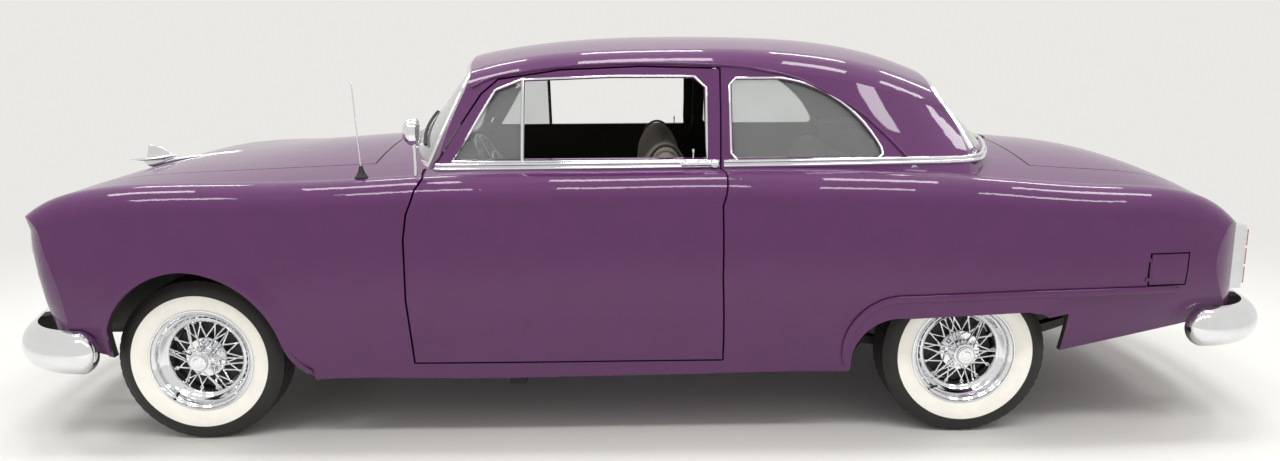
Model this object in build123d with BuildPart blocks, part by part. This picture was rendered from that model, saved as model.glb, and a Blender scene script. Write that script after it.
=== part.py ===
"""Two-door club sedan of about 1950, a whole vehicle in named pieces, in millimetres.

X runs to the rear, Y to the car's right, Z up from the road. The origin is on the
road under the middle of the overall length.
"""
import math
import os

from build123d import *

# Driving dimensions
WHEELBASE = 3099.0
FRONT_OVERHANG = 880.0
REAR_OVERHANG = 1340.0
LENGTH = FRONT_OVERHANG + WHEELBASE + REAR_OVERHANG
FA = FRONT_OVERHANG - LENGTH / 2
RA = FA + WHEELBASE
TRACK_FRONT = 1524.0
TRACK_REAR = 1542.0
TYRE_RADIUS = 336.0
TYRE_WIDTH = 205.0
RIM_RADIUS = 206.0
DOOR_FRONT = FA + 870.0
DOOR_REAR = FA + 2100.0
HOOD_REAR = FA + 700.0
LID_FRONT = RA + 300.0

# Raised wheel-opening edges
LIP_PROUD = 8.0
LIP_WIDTH = 22.0

# Clearances and wall thicknesses
DOOR_GAP = 7.5
LID_GAP = 6.0
PIN_GAP = 1.0
WALL = 30.0
PILLAR = 45.0
GLASS = 6.0

# Lid hinges
HINGE_RADIUS = 9.0
HINGE_PIN = 4.0
HINGE_GAP = 0.4
HINGE_HALF = 55.0
HOOD_HINGE_Z = 1158.0
LID_HINGE_Z = 1138.0

# Levels above the road
FLOOR_TOP = 320.0
SILL_TOP = 338.0
DOOR_BOTTOM = 345.0
BELT_INNER = 950.0
COWL_TOP = 1180.0
TRUNK_UNDER = 500.0
TRUNK_FLOOR = 535.0
LID_BOTTOM = 575.0
HOOD_LIP = 870.0
ROOF_BASE = 1040.0

# Half widths of the inside and of the panel joints
CABIN_HALF = 878.0
BELT_HALF = 772.0
HOOD_HALF_FRONT = 600.0
COWL_HALF = 655.0
COWL_HOLLOW = 778.0
DASH_HALF = 730.0
LID_HALF_FRONT = 650.0
LID_HALF_REAR = 600.0
REAR_SPLIT = 590.0
WHEELHOUSE_HALF = 600.0
WHEELHOUSE_LENGTH = 800.0
WHEELHOUSE_TOP = 775.0
WHEELHOUSE_WALL = 25.0

# Fore and aft places
FIREWALL = HOOD_REAR + 10.0
FIREWALL_REAR = FIREWALL + 25.0
COWL_REAR = FA + 1000.0
KICK_UP = RA - 500.0
SEAT_BULKHEAD = RA - 320.0
BULKHEAD_REAR = RA - 290.0
UPPER_CABIN_REAR = SEAT_BULKHEAD

# Nose and tail
NOSE_REACH = 702.0
NOSE_LEVEL = 880.0
NOSE_LEAN = 0.283
TAIL_REACH = 1214.0

# Outer body sections from nose to tail
# x, z_sill, y_sill, y_belly, y_shoulder, z_shoulder, y_top, z_top, z_crown
BODY_SECTIONS = [
    (FA - 720, 440, 850, 905, 885, 790, 780, 855, 860),
    (FA - 640, 425, 862, 918, 905, 855, 797, 938, 948),
    (FA - 540, 410, 875, 930, 920, 893, 813, 998, 1006),
    (FA - 400, 390, 888, 943, 933, 912, 828, 1036, 1048),
    (FA, 275, 905, 962, 952, 940, 842, 1063, 1100),
    (FA + 550, 275, 905, 970, 962, 955, 850, 1070, 1150),
    (FA + 950, 272, 905, 974, 966, 970, 852, 1090, 1165),
    (FA + 1650, 275, 905, 975, 968, 975, 852, 1097, 1170),
    (FA + 2060, 280, 905, 970, 962, 975, 852, 1100, 1170),
    (FA + 2349, 285, 905, 988, 981, 970, 852, 1100, 1170),
    (RA, 300, 905, 989, 980, 945, 850, 1070, 1158),
    (RA + 500, 385, 890, 976, 962, 905, 835, 1030, 1120),
    (RA + 860, 455, 864, 946, 931, 885, 802, 996, 1058),
    (RA + 1000, 478, 842, 920, 904, 837, 772, 942, 994),
    (RA + 1110, 495, 822, 900, 882, 755, 748, 848, 908),
    (RA + 1225, 515, 800, 880, 860, 650, 725, 720, 795),
]

# Roof sections from the windscreen to behind the rear window
# x, y_belt, y_shoulder, z_shoulder, y_edge, z_edge, z_crown
ROOF_SECTIONS = [
    (FA + 690, 805, 705, 1270, 560, 1350, 1385),
    (FA + 1120, 818, 672, 1425, 560, 1495, 1548),
    (FA + 1550, 826, 690, 1480, 580, 1556, 1600),
    (FA + 2000, 830, 692, 1490, 585, 1565, 1610),
    (RA - 650, 828, 690, 1466, 575, 1546, 1595),
    (RA - 250, 818, 655, 1372, 525, 1466, 1530),
    (RA + 50, 806, 600, 1262, 460, 1352, 1412),
    (RA + 350, 790, 540, 1152, 380, 1232, 1292),
]

# Plan bow of the windscreen and rear window at two levels
# z, x_front_middle, x_front_edge, x_rear_edge, x_rear_middle
GLASS_BOWS = [
    (1000.0, FA + 650, FA + 990, RA - 20, RA + 400),
    (1660.0, FA + 1153, FA + 1299, RA - 475, RA - 258),
]
BOW_HALF = 900.0

# Left door outline on the skin, clockwise from the lower front corner: x, z, y_skin
DOOR_OUTLINE = [
    (DOOR_FRONT + 13, DOOR_BOTTOM, -925),
    (DOOR_FRONT, 613, -975),
    (DOOR_FRONT, 852, -972),
    (DOOR_FRONT + 12, 949, -960),
    (DOOR_FRONT + 40, 1040, -925),
    (DOOR_FRONT + 68, 1086, -870),
    (DOOR_FRONT + 118, 1130, -815),
    (DOOR_FRONT + 210, 1271, -765),
    (DOOR_FRONT + 285, 1390, -705),
    (DOOR_FRONT + 352, 1446, -690),
    (DOOR_FRONT + 600, 1482, -688),
    (DOOR_FRONT + 920, 1494, -687),
    (DOOR_REAR, 1485, -684),
    (DOOR_REAR, 1300, -752),
    (DOOR_REAR, 1130, -822),
    (DOOR_REAR, 1095, -850),
    (DOOR_REAR, 975, -975),
    (DOOR_REAR + 2, 690, -985),
    (DOOR_REAR + 6, DOOR_BOTTOM, -925),
]
DOOR_DRAFT = math.tan(math.radians(17.0))
DOOR_OUTSIDE = -1000.0
DOOR_INSIDE = -630.0
DOOR_BELT_FACE = -782.0

# Side window openings on the skin: x, z
DOOR_WINDOW = [
    (DOOR_FRONT + 172, 1140),
    (DOOR_FRONT + 340, 1402),
    (DOOR_FRONT + 440, 1440),
    (DOOR_FRONT + 800, 1452),
    (DOOR_REAR - 100, 1450),
    (DOOR_REAR - 58, 1412),
    (DOOR_REAR - 54, 1140),
]
VENT_BAR = DOOR_FRONT + 446.0
QUARTER_WINDOW_FRONT = DOOR_REAR + 52.0
QUARTER_WINDOW_REAR = DOOR_REAR + 655.0
QUARTER_WINDOW_TOP = 1442.0
WINDOW_SILL = 1140.0

# Wheels
AXLE_HEIGHT = TYRE_RADIUS
SPINDLE_RADIUS = 18.0
HUB_RADIUS = 62.0
SPOKE_RING = 148.0
SPOKE_RADIUS = 3.2
SPOKE_PAIRS = 20
DRUM_RADIUS = 138.0
KINGPIN_HALF = 690.0
KINGPIN_RADIUS = 12.0

# Front of the car
HEADLAMP_X = FA - 660.0
HEADLAMP_Y = 725.0
HEADLAMP_Z = 800.0
HEADLAMP_RADIUS = 108.0
SEAT_GAP = 1.0
LENS_RADIUS = 86.0
LENS_RISE = 22.0
GRILLE_HALF = 615.0
GRILLE_POST = 480.0
GRILLE_BARS = 5
FRONT_BUMPER_LOW = 308.0
FRONT_BUMPER_HIGH = 488.0
REAR_BUMPER_LOW = 374.0
REAR_BUMPER_HIGH = 538.0
BUMPER_DEPTH = 66.0

# Tail lamps and fuel door
TAIL_LAMP_Y = 772.0
TAIL_LAMP_LOW = 590.0
TAIL_LAMP_HIGH = 848.0
TAIL_SEGMENTS = 3
FUEL_DOOR_X = RA + 757.0
FUEL_DOOR_Z = 706.0
FUEL_DOOR_LENGTH = 150.0
FUEL_DOOR_HEIGHT = 124.0
FUEL_DOOR_THICKNESS = 12.0
FUEL_HINGE_X = FUEL_DOOR_X - FUEL_DOOR_LENGTH / 2 - LID_GAP / 2
FUEL_HINGE_Y = -964.0
FUEL_HINGE_RADIUS = 3.4
FUEL_HINGE_PIN = 1.8

os.makedirs("parts", exist_ok=True)


def save(part, name):
    part.label = name
    export_step(part, f"parts/{name}.step")


def box(x0, x1, y0, y1, z0, z1):
    with BuildPart() as block:
        with Locations(((x0 + x1) / 2, (y0 + y1) / 2, (z0 + z1) / 2)):
            Box(x1 - x0, y1 - y0, z1 - z0)
    return block.part


def side_prism(points, y0, y1, gap=0.0):
    """A closed outline in X and Z carried across from y0 to y1."""
    with BuildPart() as prism:
        with BuildSketch(Plane.XZ.offset(-y0)):
            with BuildLine():
                Polyline(*points, close=True)
            make_face()
            if gap:
                offset(amount=gap)
        extrude(amount=y0 - y1)
    return prism.part


def plan_prism(points, z0, z1, gap=0.0):
    """A closed outline in X and Y carried up from z0 to z1."""
    with BuildPart() as prism:
        with BuildSketch(Plane.XY.offset(z0)):
            with BuildLine():
                Polyline(*points, close=True)
            make_face()
            if gap:
                offset(amount=gap)
        extrude(amount=z1 - z0)
    return prism.part


def lower_body(inset, sill=None):
    """The body below the windows, shrunk by inset, its underside at sill."""
    with BuildPart() as body:
        for x, z_sill, y_sill, y_belly, y_sh, z_sh, y_top, z_top, z_crown in BODY_SECTIONS:
            middle = (z_sill + z_sh) / 2 + 60
            y_low, y_mid, y_up = y_sill - inset, y_belly - inset, y_sh - inset
            y_in = y_top - 0.7 * inset
            z_up = z_top - inset
            y_bend = y_in + 0.73 * (y_up - y_in)
            z_bend = z_sh + 0.72 * (z_up - z_sh)
            with BuildSketch(Plane.YZ.offset(x)):
                with BuildLine():
                    if sill is None:
                        Line((-y_low, z_sill), (y_low, z_sill))
                    else:
                        Polyline((-y_low, z_sill), (-y_low, sill), (y_low, sill), (y_low, z_sill))
                    ThreePointArc((y_low, z_sill), (y_mid, middle), (y_up, z_sh))
                    ThreePointArc((y_up, z_sh), (y_bend, z_bend), (y_in, z_up))
                    ThreePointArc((y_in, z_up), (0, z_crown - inset), (-y_in, z_up))
                    ThreePointArc((-y_in, z_up), (-y_bend, z_bend), (-y_up, z_sh))
                    ThreePointArc((-y_up, z_sh), (-y_mid, middle), (-y_low, z_sill))
                make_face()
        loft()
        nose = FA - NOSE_REACH + NOSE_LEAN * NOSE_LEVEL
        with BuildSketch(Plane.XY):
            with BuildLine():
                ThreePointArc((nose + 56, -800), (nose, 0), (nose + 56, 800))
                ThreePointArc((nose + 56, 800), (nose + 112, 885), (nose + 232, 960))
                Polyline((nose + 232, 960), (nose + 500, 1050), (RA + 2400, 1050))
                Polyline((RA + 2400, 1050), (RA + 2400, -1050))
                Polyline((RA + 2400, -1050), (nose + 500, -1050), (nose + 232, -960))
                ThreePointArc((nose + 232, -960), (nose + 112, -885), (nose + 56, -800))
            make_face()
            if inset:
                offset(amount=-inset)
        extrude(amount=1500 * math.hypot(1, NOSE_LEAN), dir=(-NOSE_LEAN, 0, 1), mode=Mode.INTERSECT)
        with BuildSketch(Plane.XY):
            with BuildLine():
                Polyline((RA + 860, -962), (RA + 650, -1050), (FA - 2000, -1050))
                Polyline((FA - 2000, -1050), (FA - 2000, 1050))
                Polyline((FA - 2000, 1050), (RA + 650, 1050), (RA + 860, 962))
                ThreePointArc((RA + 860, 962), (RA + 1040, 872), (RA + 1140, 720))
                ThreePointArc((RA + 1140, 720), (RA + TAIL_REACH, 0), (RA + 1140, -720))
                ThreePointArc((RA + 1140, -720), (RA + 1040, -872), (RA + 860, -962))
            make_face()
            if inset:
                offset(amount=-inset)
        extrude(amount=1500, mode=Mode.INTERSECT)
    return body.part


def upper_body(inset, base):
    """The roof and window part of the body, shrunk by inset, from base up."""
    with BuildPart() as house:
        for x, y_belt, y_sh, z_sh, y_edge, z_edge, z_crown in ROOF_SECTIONS:
            y_low, y_up = y_belt - inset, y_sh - inset
            y_in, z_in = y_edge - 0.6 * inset, z_edge - 0.8 * inset
            y_bend = y_in + 0.62 * (y_up - y_in)
            z_bend = z_sh + 0.6 * (z_in - z_sh)
            lean = (y_belt - y_sh) / (z_sh - 1100)
            y_low += lean * (1100 - base)
            with BuildSketch(Plane.YZ.offset(x)):
                with BuildLine():
                    Polyline((-y_up, z_sh), (-y_low, base), (y_low, base), (y_up, z_sh))
                    ThreePointArc((y_up, z_sh), (y_bend, z_bend), (y_in, z_in))
                    ThreePointArc((y_in, z_in), (0, z_crown - inset), (-y_in, z_in))
                    ThreePointArc((-y_in, z_in), (-y_bend, z_bend), (-y_up, z_sh))
                make_face()
        loft()
        add(window_bow(inset), mode=Mode.INTERSECT)
    return house.part


def window_bow(inset):
    """The space between the windscreen face and the rear window face."""
    with BuildPart() as bow:
        for z, x_front, x_front_edge, x_rear_edge, x_rear in GLASS_BOWS:
            with BuildSketch(Plane.XY.offset(z)):
                with BuildLine():
                    ThreePointArc(
                        (x_front_edge + inset, -BOW_HALF),
                        (x_front + inset, 0),
                        (x_front_edge + inset, BOW_HALF),
                    )
                    Line((x_front_edge + inset, BOW_HALF), (x_rear_edge - inset, BOW_HALF))
                    ThreePointArc(
                        (x_rear_edge - inset, BOW_HALF),
                        (x_rear - inset, 0),
                        (x_rear_edge - inset, -BOW_HALF),
                    )
                    Line((x_rear_edge - inset, -BOW_HALF), (x_front_edge + inset, -BOW_HALF))
                make_face()
        loft(ruled=True)
    return bow.part


def door_prism(gap):
    """The left door's outline swept inward along its draft, grown by gap."""
    points = [(x + DOOR_DRAFT * (y - DOOR_OUTSIDE), z) for x, z, y in DOOR_OUTLINE]
    depth = DOOR_INSIDE - DOOR_OUTSIDE
    with BuildPart() as prism:
        with BuildSketch(Plane.XZ.offset(-DOOR_OUTSIDE)):
            with BuildLine():
                Polyline(*points, close=True)
            make_face()
            if gap:
                offset(amount=gap)
        extrude(amount=depth * math.hypot(1, DOOR_DRAFT), dir=(-DOOR_DRAFT, 1, 0))
        inner_face = DOOR_BELT_FACE + gap
        keep_out = box(DOOR_FRONT - 300, COWL_REAR - gap, inner_face, 0, 900, COWL_TOP - 6)
        add(keep_out, mode=Mode.SUBTRACT)
    return prism.part


def quarter_outline():
    with BuildSketch(Plane.XZ) as sketch:
        with BuildLine():
            Polyline(
                (QUARTER_WINDOW_FRONT + 190, QUARTER_WINDOW_TOP),
                (QUARTER_WINDOW_FRONT, QUARTER_WINDOW_TOP),
                (QUARTER_WINDOW_FRONT, WINDOW_SILL),
                (QUARTER_WINDOW_REAR, WINDOW_SILL),
            )
            ThreePointArc(
                (QUARTER_WINDOW_REAR, WINDOW_SILL),
                (QUARTER_WINDOW_FRONT + 430, QUARTER_WINDOW_TOP - 90),
                (QUARTER_WINDOW_FRONT + 190, QUARTER_WINDOW_TOP),
            )
        make_face()
        fillet(sketch.vertices(), 18)
    return sketch.sketch


def front_glass_outline():
    with BuildSketch(Plane.YZ) as sketch:
        with BuildLine():
            Polyline((-742, 1120), (742, 1120), (612, 1452))
            ThreePointArc((612, 1452), (0, 1500), (-612, 1452))
            Line((-612, 1452), (-742, 1120))
        make_face()
        fillet(sketch.vertices(), 35)
    return sketch.sketch


def rear_glass_outline():
    with BuildSketch(Plane.YZ) as sketch:
        with BuildLine():
            Polyline((-705, 1150), (705, 1150), (505, 1385))
            ThreePointArc((505, 1385), (0, 1420), (-505, 1385))
            Line((-505, 1385), (-705, 1150))
        make_face()
        fillet(sketch.vertices(), 45)
    return sketch.sketch


# Master volumes
outer_lower = lower_body(0)
inner_lower = lower_body(WALL, 60)
outer_upper = upper_body(0, ROOF_BASE)
inner_upper = upper_body(PILLAR, COWL_TOP - 6)
door_cut = door_prism(DOOR_GAP)
door_fill = door_prism(0)

hood_plan = [
    (FA - 900, -HOOD_HALF_FRONT),
    (HOOD_REAR, -COWL_HALF),
    (HOOD_REAR, COWL_HALF),
    (FA - 900, HOOD_HALF_FRONT),
]
lid_plan = [
    (LID_FRONT, -LID_HALF_FRONT),
    (RA + 1400, -LID_HALF_REAR),
    (RA + 1400, LID_HALF_REAR),
    (LID_FRONT, LID_HALF_FRONT),
]
hood_fill = plan_prism(hood_plan, HOOD_LIP, 1300)
hood_cut = plan_prism(hood_plan, HOOD_LIP - LID_GAP, 1300, LID_GAP)
lid_side = [
    (LID_FRONT, 900),
    (RA + 1000, 900),
    (RA + 1000, LID_BOTTOM),
    (RA + 1400, LID_BOTTOM),
    (RA + 1400, 1300),
    (LID_FRONT, 1300),
]
with BuildPart() as lid_space:
    add(plan_prism(lid_plan, 500, 1300))
    add(side_prism(lid_side, -800, 800), mode=Mode.INTERSECT)
with BuildPart() as lid_room:
    add(plan_prism(lid_plan, 500, 1300, LID_GAP))
    add(side_prism(lid_side, -800, 800, LID_GAP), mode=Mode.INTERSECT)
lid_fill = lid_space.part
lid_cut = lid_room.part

# Hollow body
with BuildPart() as wheelhouses:
    for side in (-1, 1):
        with BuildSketch(Plane.XZ.offset(-side * WHEELHOUSE_HALF)):
            with Locations((RA, WHEELHOUSE_TOP / 2)):
                RectangleRounded(WHEELHOUSE_LENGTH, WHEELHOUSE_TOP, 160)
        extrude(amount=-side * 420)

with BuildPart() as wheel_wells:
    for side in (-1, 1):
        with BuildSketch(Plane.XZ.offset(-side * (WHEELHOUSE_HALF + WHEELHOUSE_WALL))):
            with Locations((RA, WHEELHOUSE_TOP / 2 - WHEELHOUSE_WALL)):
                RectangleRounded(
                    WHEELHOUSE_LENGTH - 2 * WHEELHOUSE_WALL, WHEELHOUSE_TOP, 160 - WHEELHOUSE_WALL
                )
        extrude(amount=-side * (955 - WHEELHOUSE_HALF - WHEELHOUSE_WALL))

with BuildPart() as hollow_front:
    add(inner_lower)
    add(box(-4000, FIREWALL, -1200, 1200, 0, 1400), mode=Mode.INTERSECT)

with BuildPart() as hollow_cowl:
    add(inner_lower)
    add(box(FIREWALL_REAR, COWL_REAR, -COWL_HOLLOW, COWL_HOLLOW, 900, 1400), mode=Mode.INTERSECT)

with BuildPart() as hollow_trunk:
    add(inner_lower)
    add(box(BULKHEAD_REAR, 4000, -1200, 1200, TRUNK_FLOOR, 1400), mode=Mode.INTERSECT)
    add(wheelhouses.part, mode=Mode.SUBTRACT)

with BuildPart() as hollow_under:
    add(inner_lower)
    add(box(KICK_UP + WALL, 4000, -1200, 1200, 0, TRUNK_UNDER), mode=Mode.INTERSECT)

with BuildPart() as hollow_cabin:
    add(box(FIREWALL_REAR, KICK_UP, -CABIN_HALF, CABIN_HALF, FLOOR_TOP, BELT_INNER))
    add(box(KICK_UP - 1, SEAT_BULKHEAD, -CABIN_HALF, CABIN_HALF, TRUNK_FLOOR, BELT_INNER))
    add(box(COWL_REAR - 1, UPPER_CABIN_REAR, -BELT_HALF, BELT_HALF, BELT_INNER - 1, COWL_TOP))
    add(wheelhouses.part, mode=Mode.SUBTRACT)

with BuildPart() as shell:
    add(outer_lower)
    add(hollow_front.part, mode=Mode.SUBTRACT)
    add(hollow_cowl.part, mode=Mode.SUBTRACT)
    add(hollow_trunk.part, mode=Mode.SUBTRACT)
    add(hollow_under.part, mode=Mode.SUBTRACT)
    add(hollow_cabin.part, mode=Mode.SUBTRACT)
    add(wheel_wells.part, mode=Mode.SUBTRACT)

# Roof with its pillars
with BuildPart() as roof:
    add(outer_upper)
    add(inner_upper, mode=Mode.SUBTRACT)
    add(outer_lower, mode=Mode.SUBTRACT)
    add(
        box(COWL_REAR - 1, UPPER_CABIN_REAR, -BELT_HALF, BELT_HALF, BELT_INNER, COWL_TOP),
        mode=Mode.SUBTRACT,
    )
    add(door_cut, mode=Mode.SUBTRACT)
    add(mirror(door_cut, about=Plane.XZ, mode=Mode.PRIVATE), mode=Mode.SUBTRACT)
    extrude(quarter_outline(), amount=1000, both=True, mode=Mode.SUBTRACT)
    extrude(front_glass_outline(), amount=-3000, mode=Mode.SUBTRACT)
    extrude(rear_glass_outline(), amount=3000, mode=Mode.SUBTRACT)
save(roof.part, "roof_panel")


def glass_layer(outline, amount, both=False):
    """A pane that follows the outer face inside one window opening."""
    with BuildPart() as pane:
        add(pane_layer.part)
        extrude(outline, amount=amount, both=both, mode=Mode.INTERSECT)
    return pane.part


with BuildPart() as pane_layer:
    add(upper_body(12, ROOF_BASE))
    add(upper_body(12 + GLASS, ROOF_BASE - 10), mode=Mode.SUBTRACT)

with BuildPart() as windscreen:
    add(glass_layer(front_glass_outline(), -3000))
    add(outer_lower, mode=Mode.SUBTRACT)

with BuildPart() as rear_window:
    add(glass_layer(rear_glass_outline(), 3000))
    add(outer_lower, mode=Mode.SUBTRACT)

with BuildPart() as quarter_windows:
    add(glass_layer(quarter_outline(), 1000, True))
    add(outer_lower, mode=Mode.SUBTRACT)

with BuildPart() as body_glass:
    add(windscreen.part)
    add(rear_window.part)
    add(quarter_windows.part)
save(body_glass.part, "body_glass")

# Doors
with BuildPart() as door:
    add(outer_upper)
    add(inner_upper, mode=Mode.SUBTRACT)
    add(outer_lower)
    add(hollow_cabin.part, mode=Mode.SUBTRACT)
    add(door_fill, mode=Mode.INTERSECT)
    add(side_prism(DOOR_WINDOW, -1000, -600), mode=Mode.SUBTRACT)
save(door.part, "door_left")
save(mirror(door.part, about=Plane.XZ), "door_right")

# Vent panes, each ahead of its division bar
with BuildPart() as vent:
    add(pane_layer.part)
    add(side_prism(DOOR_WINDOW, -1000, -600), mode=Mode.INTERSECT)
    add(box(DOOR_FRONT, VENT_BAR, -1000, -600, 1000, 1500), mode=Mode.INTERSECT)
save(vent.part, "vent_window_left")
save(mirror(vent.part, about=Plane.XZ), "vent_window_right")

# Floor with the sills under the doors
floor_plan = [
    (FIREWALL_REAR, -850),
    (DOOR_FRONT, -850),
    (DOOR_FRONT, -1100),
    (DOOR_REAR, -1100),
    (DOOR_REAR, -850),
    (KICK_UP + WALL, -850),
    (KICK_UP + WALL, 850),
    (DOOR_REAR, 850),
    (DOOR_REAR, 1100),
    (DOOR_FRONT, 1100),
    (DOOR_FRONT, 850),
    (FIREWALL_REAR, 850),
]
floor_fill = plan_prism(floor_plan, 200, SILL_TOP)
with BuildPart() as floor:
    add(shell.part)
    add(floor_fill, mode=Mode.INTERSECT)
save(floor.part, "floor_and_sills")


def hinge_barrel(x, z, reach):
    """The moving half of a lid hinge on the centre line, a sleeve with a leaf."""
    with BuildPart() as barrel:
        with Locations((x, 0, z)):
            Cylinder(HINGE_RADIUS, 2 * HINGE_HALF, rotation=(90, 0, 0))
        add(box(min(x, x + reach), max(x, x + reach), -HINGE_HALF, HINGE_HALF, z - 20, z))
        with Locations((x, 0, z)):
            Cylinder(HINGE_PIN + HINGE_GAP, 2 * HINGE_HALF, rotation=(90, 0, 0), mode=Mode.SUBTRACT)
    return barrel.part


def hinge_fork(x, z, reach):
    """The fixed half of a lid hinge: a pin between two lugs."""
    with BuildPart() as fork:
        with Locations((x, 0, z)):
            Cylinder(HINGE_PIN, 2 * HINGE_HALF + 30, rotation=(90, 0, 0))
        for side in (-1, 1):
            near = side * (HINGE_HALF + 3)
            far = side * (HINGE_HALF + 15)
            with Locations((x, (near + far) / 2, z)):
                Cylinder(HINGE_RADIUS, 12, rotation=(90, 0, 0))
            add(box(min(x, x + reach), max(x, x + reach), min(near, far), max(near, far), z - 24, z))
    return fork.part


def hinge_room(x, z, reach):
    """The notch that gives one half of a lid hinge its running room."""
    half = HINGE_HALF + 22
    return box(min(x, x + reach), max(x, x + reach), -half, half, z - 40, z + 40)


# Hood, cowl and front fenders
with BuildPart() as hood:
    add(shell.part)
    add(hood_fill, mode=Mode.INTERSECT)
    add(hinge_room(HOOD_REAR, HOOD_HINGE_Z, -16), mode=Mode.SUBTRACT)
    add(hinge_barrel(HOOD_REAR, HOOD_HINGE_Z, -20))
save(hood.part, "hood")

with BuildPart() as cowl:
    add(shell.part)
    add(box(FIREWALL - 20, COWL_REAR + 10, -COWL_HALF, COWL_HALF, 200, 1400), mode=Mode.INTERSECT)
    add(hood_cut, mode=Mode.SUBTRACT)
    add(floor_fill, mode=Mode.SUBTRACT)
    add(hinge_room(HOOD_REAR, HOOD_HINGE_Z, 16), mode=Mode.SUBTRACT)
    add(hinge_fork(HOOD_REAR, HOOD_HINGE_Z, 20))
save(cowl.part, "cowl")

fender_plan = [
    (FA - 900, -HOOD_HALF_FRONT),
    (HOOD_REAR, -COWL_HALF),
    (COWL_REAR + 10, -COWL_HALF),
    (COWL_REAR + 10, -1100),
    (FA - 900, -1100),
]


def front_arch(y0, y1, gap=0.0):
    """The front wheel opening carried from y0 to y1, grown by gap."""
    with BuildPart() as arch:
        with BuildSketch(Plane.XZ.offset(-y0)):
            with BuildLine():
                Polyline((FA + 475, 286), (FA + 475, 0), (FA - 310, 0), (FA - 322, 492))
                ThreePointArc((FA - 322, 492), (FA - 204, 657), (FA - 4, 731))
                ThreePointArc((FA - 4, 731), (FA + 203, 665), (FA + 360, 440))
                ThreePointArc((FA + 360, 440), (FA + 404, 345), (FA + 475, 286))
            make_face()
            if gap:
                offset(amount=gap)
        extrude(amount=y0 - y1)
    return arch.part


def rear_arch(y0, y1):
    """The rear wheel opening carried from y0 to y1."""
    with BuildPart() as arch:
        with BuildSketch(Plane.XZ.offset(-y0)):
            with BuildLine():
                Polyline((RA + 350, 430), (RA + 375, 0), (RA - 480, 0), (RA - 476, 312))
                ThreePointArc((RA - 476, 312), (RA - 426, 469), (RA - 262, 521))
                Line((RA - 262, 521), (RA + 215, 541))
                ThreePointArc((RA + 215, 541), (RA + 300, 510), (RA + 350, 430))
            make_face()
        extrude(amount=y0 - y1)
    return arch.part


# Raised edge round the front wheel opening
proud_body = lower_body(-LIP_PROUD)
with BuildPart() as front_lip:
    add(front_arch(-1100, -870, LIP_WIDTH))
    add(front_arch(-1100, -870), mode=Mode.SUBTRACT)
    add(box(FA - 400, FA + 470, -1100, -870, 300, 1000), mode=Mode.INTERSECT)
    add(proud_body, mode=Mode.INTERSECT)
    add(inner_lower, mode=Mode.SUBTRACT)

with BuildPart() as fender:
    add(shell.part)
    add(plan_prism(fender_plan, 100, 1300), mode=Mode.INTERSECT)
    add(hood_cut, mode=Mode.SUBTRACT)
    add(door_cut, mode=Mode.SUBTRACT)
    add(floor_fill, mode=Mode.SUBTRACT)
    add(front_arch(-1100, -840), mode=Mode.SUBTRACT)
    add(front_lip.part)
    with Locations((HEADLAMP_X - 60, -HEADLAMP_Y, HEADLAMP_Z)):
        Cylinder(HEADLAMP_RADIUS, 180, rotation=(0, 90, 0), mode=Mode.SUBTRACT)
save(fender.part, "front_fender_left")
save(mirror(fender.part, about=Plane.XZ), "front_fender_right")

# Rear quarters, rear deck, trunk floor and trunk lid
with BuildPart() as rear_ledge:
    with BuildSketch(Plane.XZ.offset(900)):
        with BuildLine():
            Polyline((RA - 476, 312), (RA - 500, 312))
            ThreePointArc((RA - 500, 312), (RA - 438, 553), (RA - 275, 607))
            Polyline((RA - 275, 607), (RA + 235, 622), (RA + 810, 629), (RA + 810, 617))
            Polyline((RA + 810, 617), (RA + 340, 596))
            ThreePointArc((RA + 340, 596), (RA + 300, 545), (RA + 215, 541))
            Line((RA + 215, 541), (RA - 262, 521))
            ThreePointArc((RA - 262, 521), (RA - 426, 469), (RA - 476, 312))
        make_face()
    extrude(amount=250)
    add(proud_body, mode=Mode.INTERSECT)
    add(inner_lower, mode=Mode.SUBTRACT)
fuel_fill = box(
    FUEL_DOOR_X - FUEL_DOOR_LENGTH / 2,
    FUEL_DOOR_X + FUEL_DOOR_LENGTH / 2,
    -1100,
    -800,
    FUEL_DOOR_Z - FUEL_DOOR_HEIGHT / 2,
    FUEL_DOOR_Z + FUEL_DOOR_HEIGHT / 2,
)
fuel_cut = box(
    FUEL_DOOR_X - FUEL_DOOR_LENGTH / 2 - LID_GAP,
    FUEL_DOOR_X + FUEL_DOOR_LENGTH / 2 + LID_GAP,
    -1100,
    -800,
    FUEL_DOOR_Z - FUEL_DOOR_HEIGHT / 2 - LID_GAP,
    FUEL_DOOR_Z + FUEL_DOOR_HEIGHT / 2 + LID_GAP,
)
fuel_back = lower_body(FUEL_DOOR_THICKNESS)
tail_lamp_body = box(
    RA + 1060, RA + 1250, -TAIL_LAMP_Y - 38, -TAIL_LAMP_Y + 38, TAIL_LAMP_LOW, TAIL_LAMP_HIGH
)
with BuildPart() as quarter_blank:
    add(shell.part)
    add(box(DOOR_FRONT + 300, 4000, -1200, -REAR_SPLIT, 0, 1300), mode=Mode.INTERSECT)
    add(door_cut, mode=Mode.SUBTRACT)
    add(floor_fill, mode=Mode.SUBTRACT)
    add(lid_cut, mode=Mode.SUBTRACT)
    add(rear_arch(-1100, -860), mode=Mode.SUBTRACT)
    add(rear_ledge.part)
    add(tail_lamp_body, mode=Mode.SUBTRACT)
save(mirror(quarter_blank.part, about=Plane.XZ), "quarter_panel_right")

with BuildPart() as fuel_pocket:
    add(fuel_cut)
    add(lower_body(FUEL_DOOR_THICKNESS + LID_GAP), mode=Mode.SUBTRACT)

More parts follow.
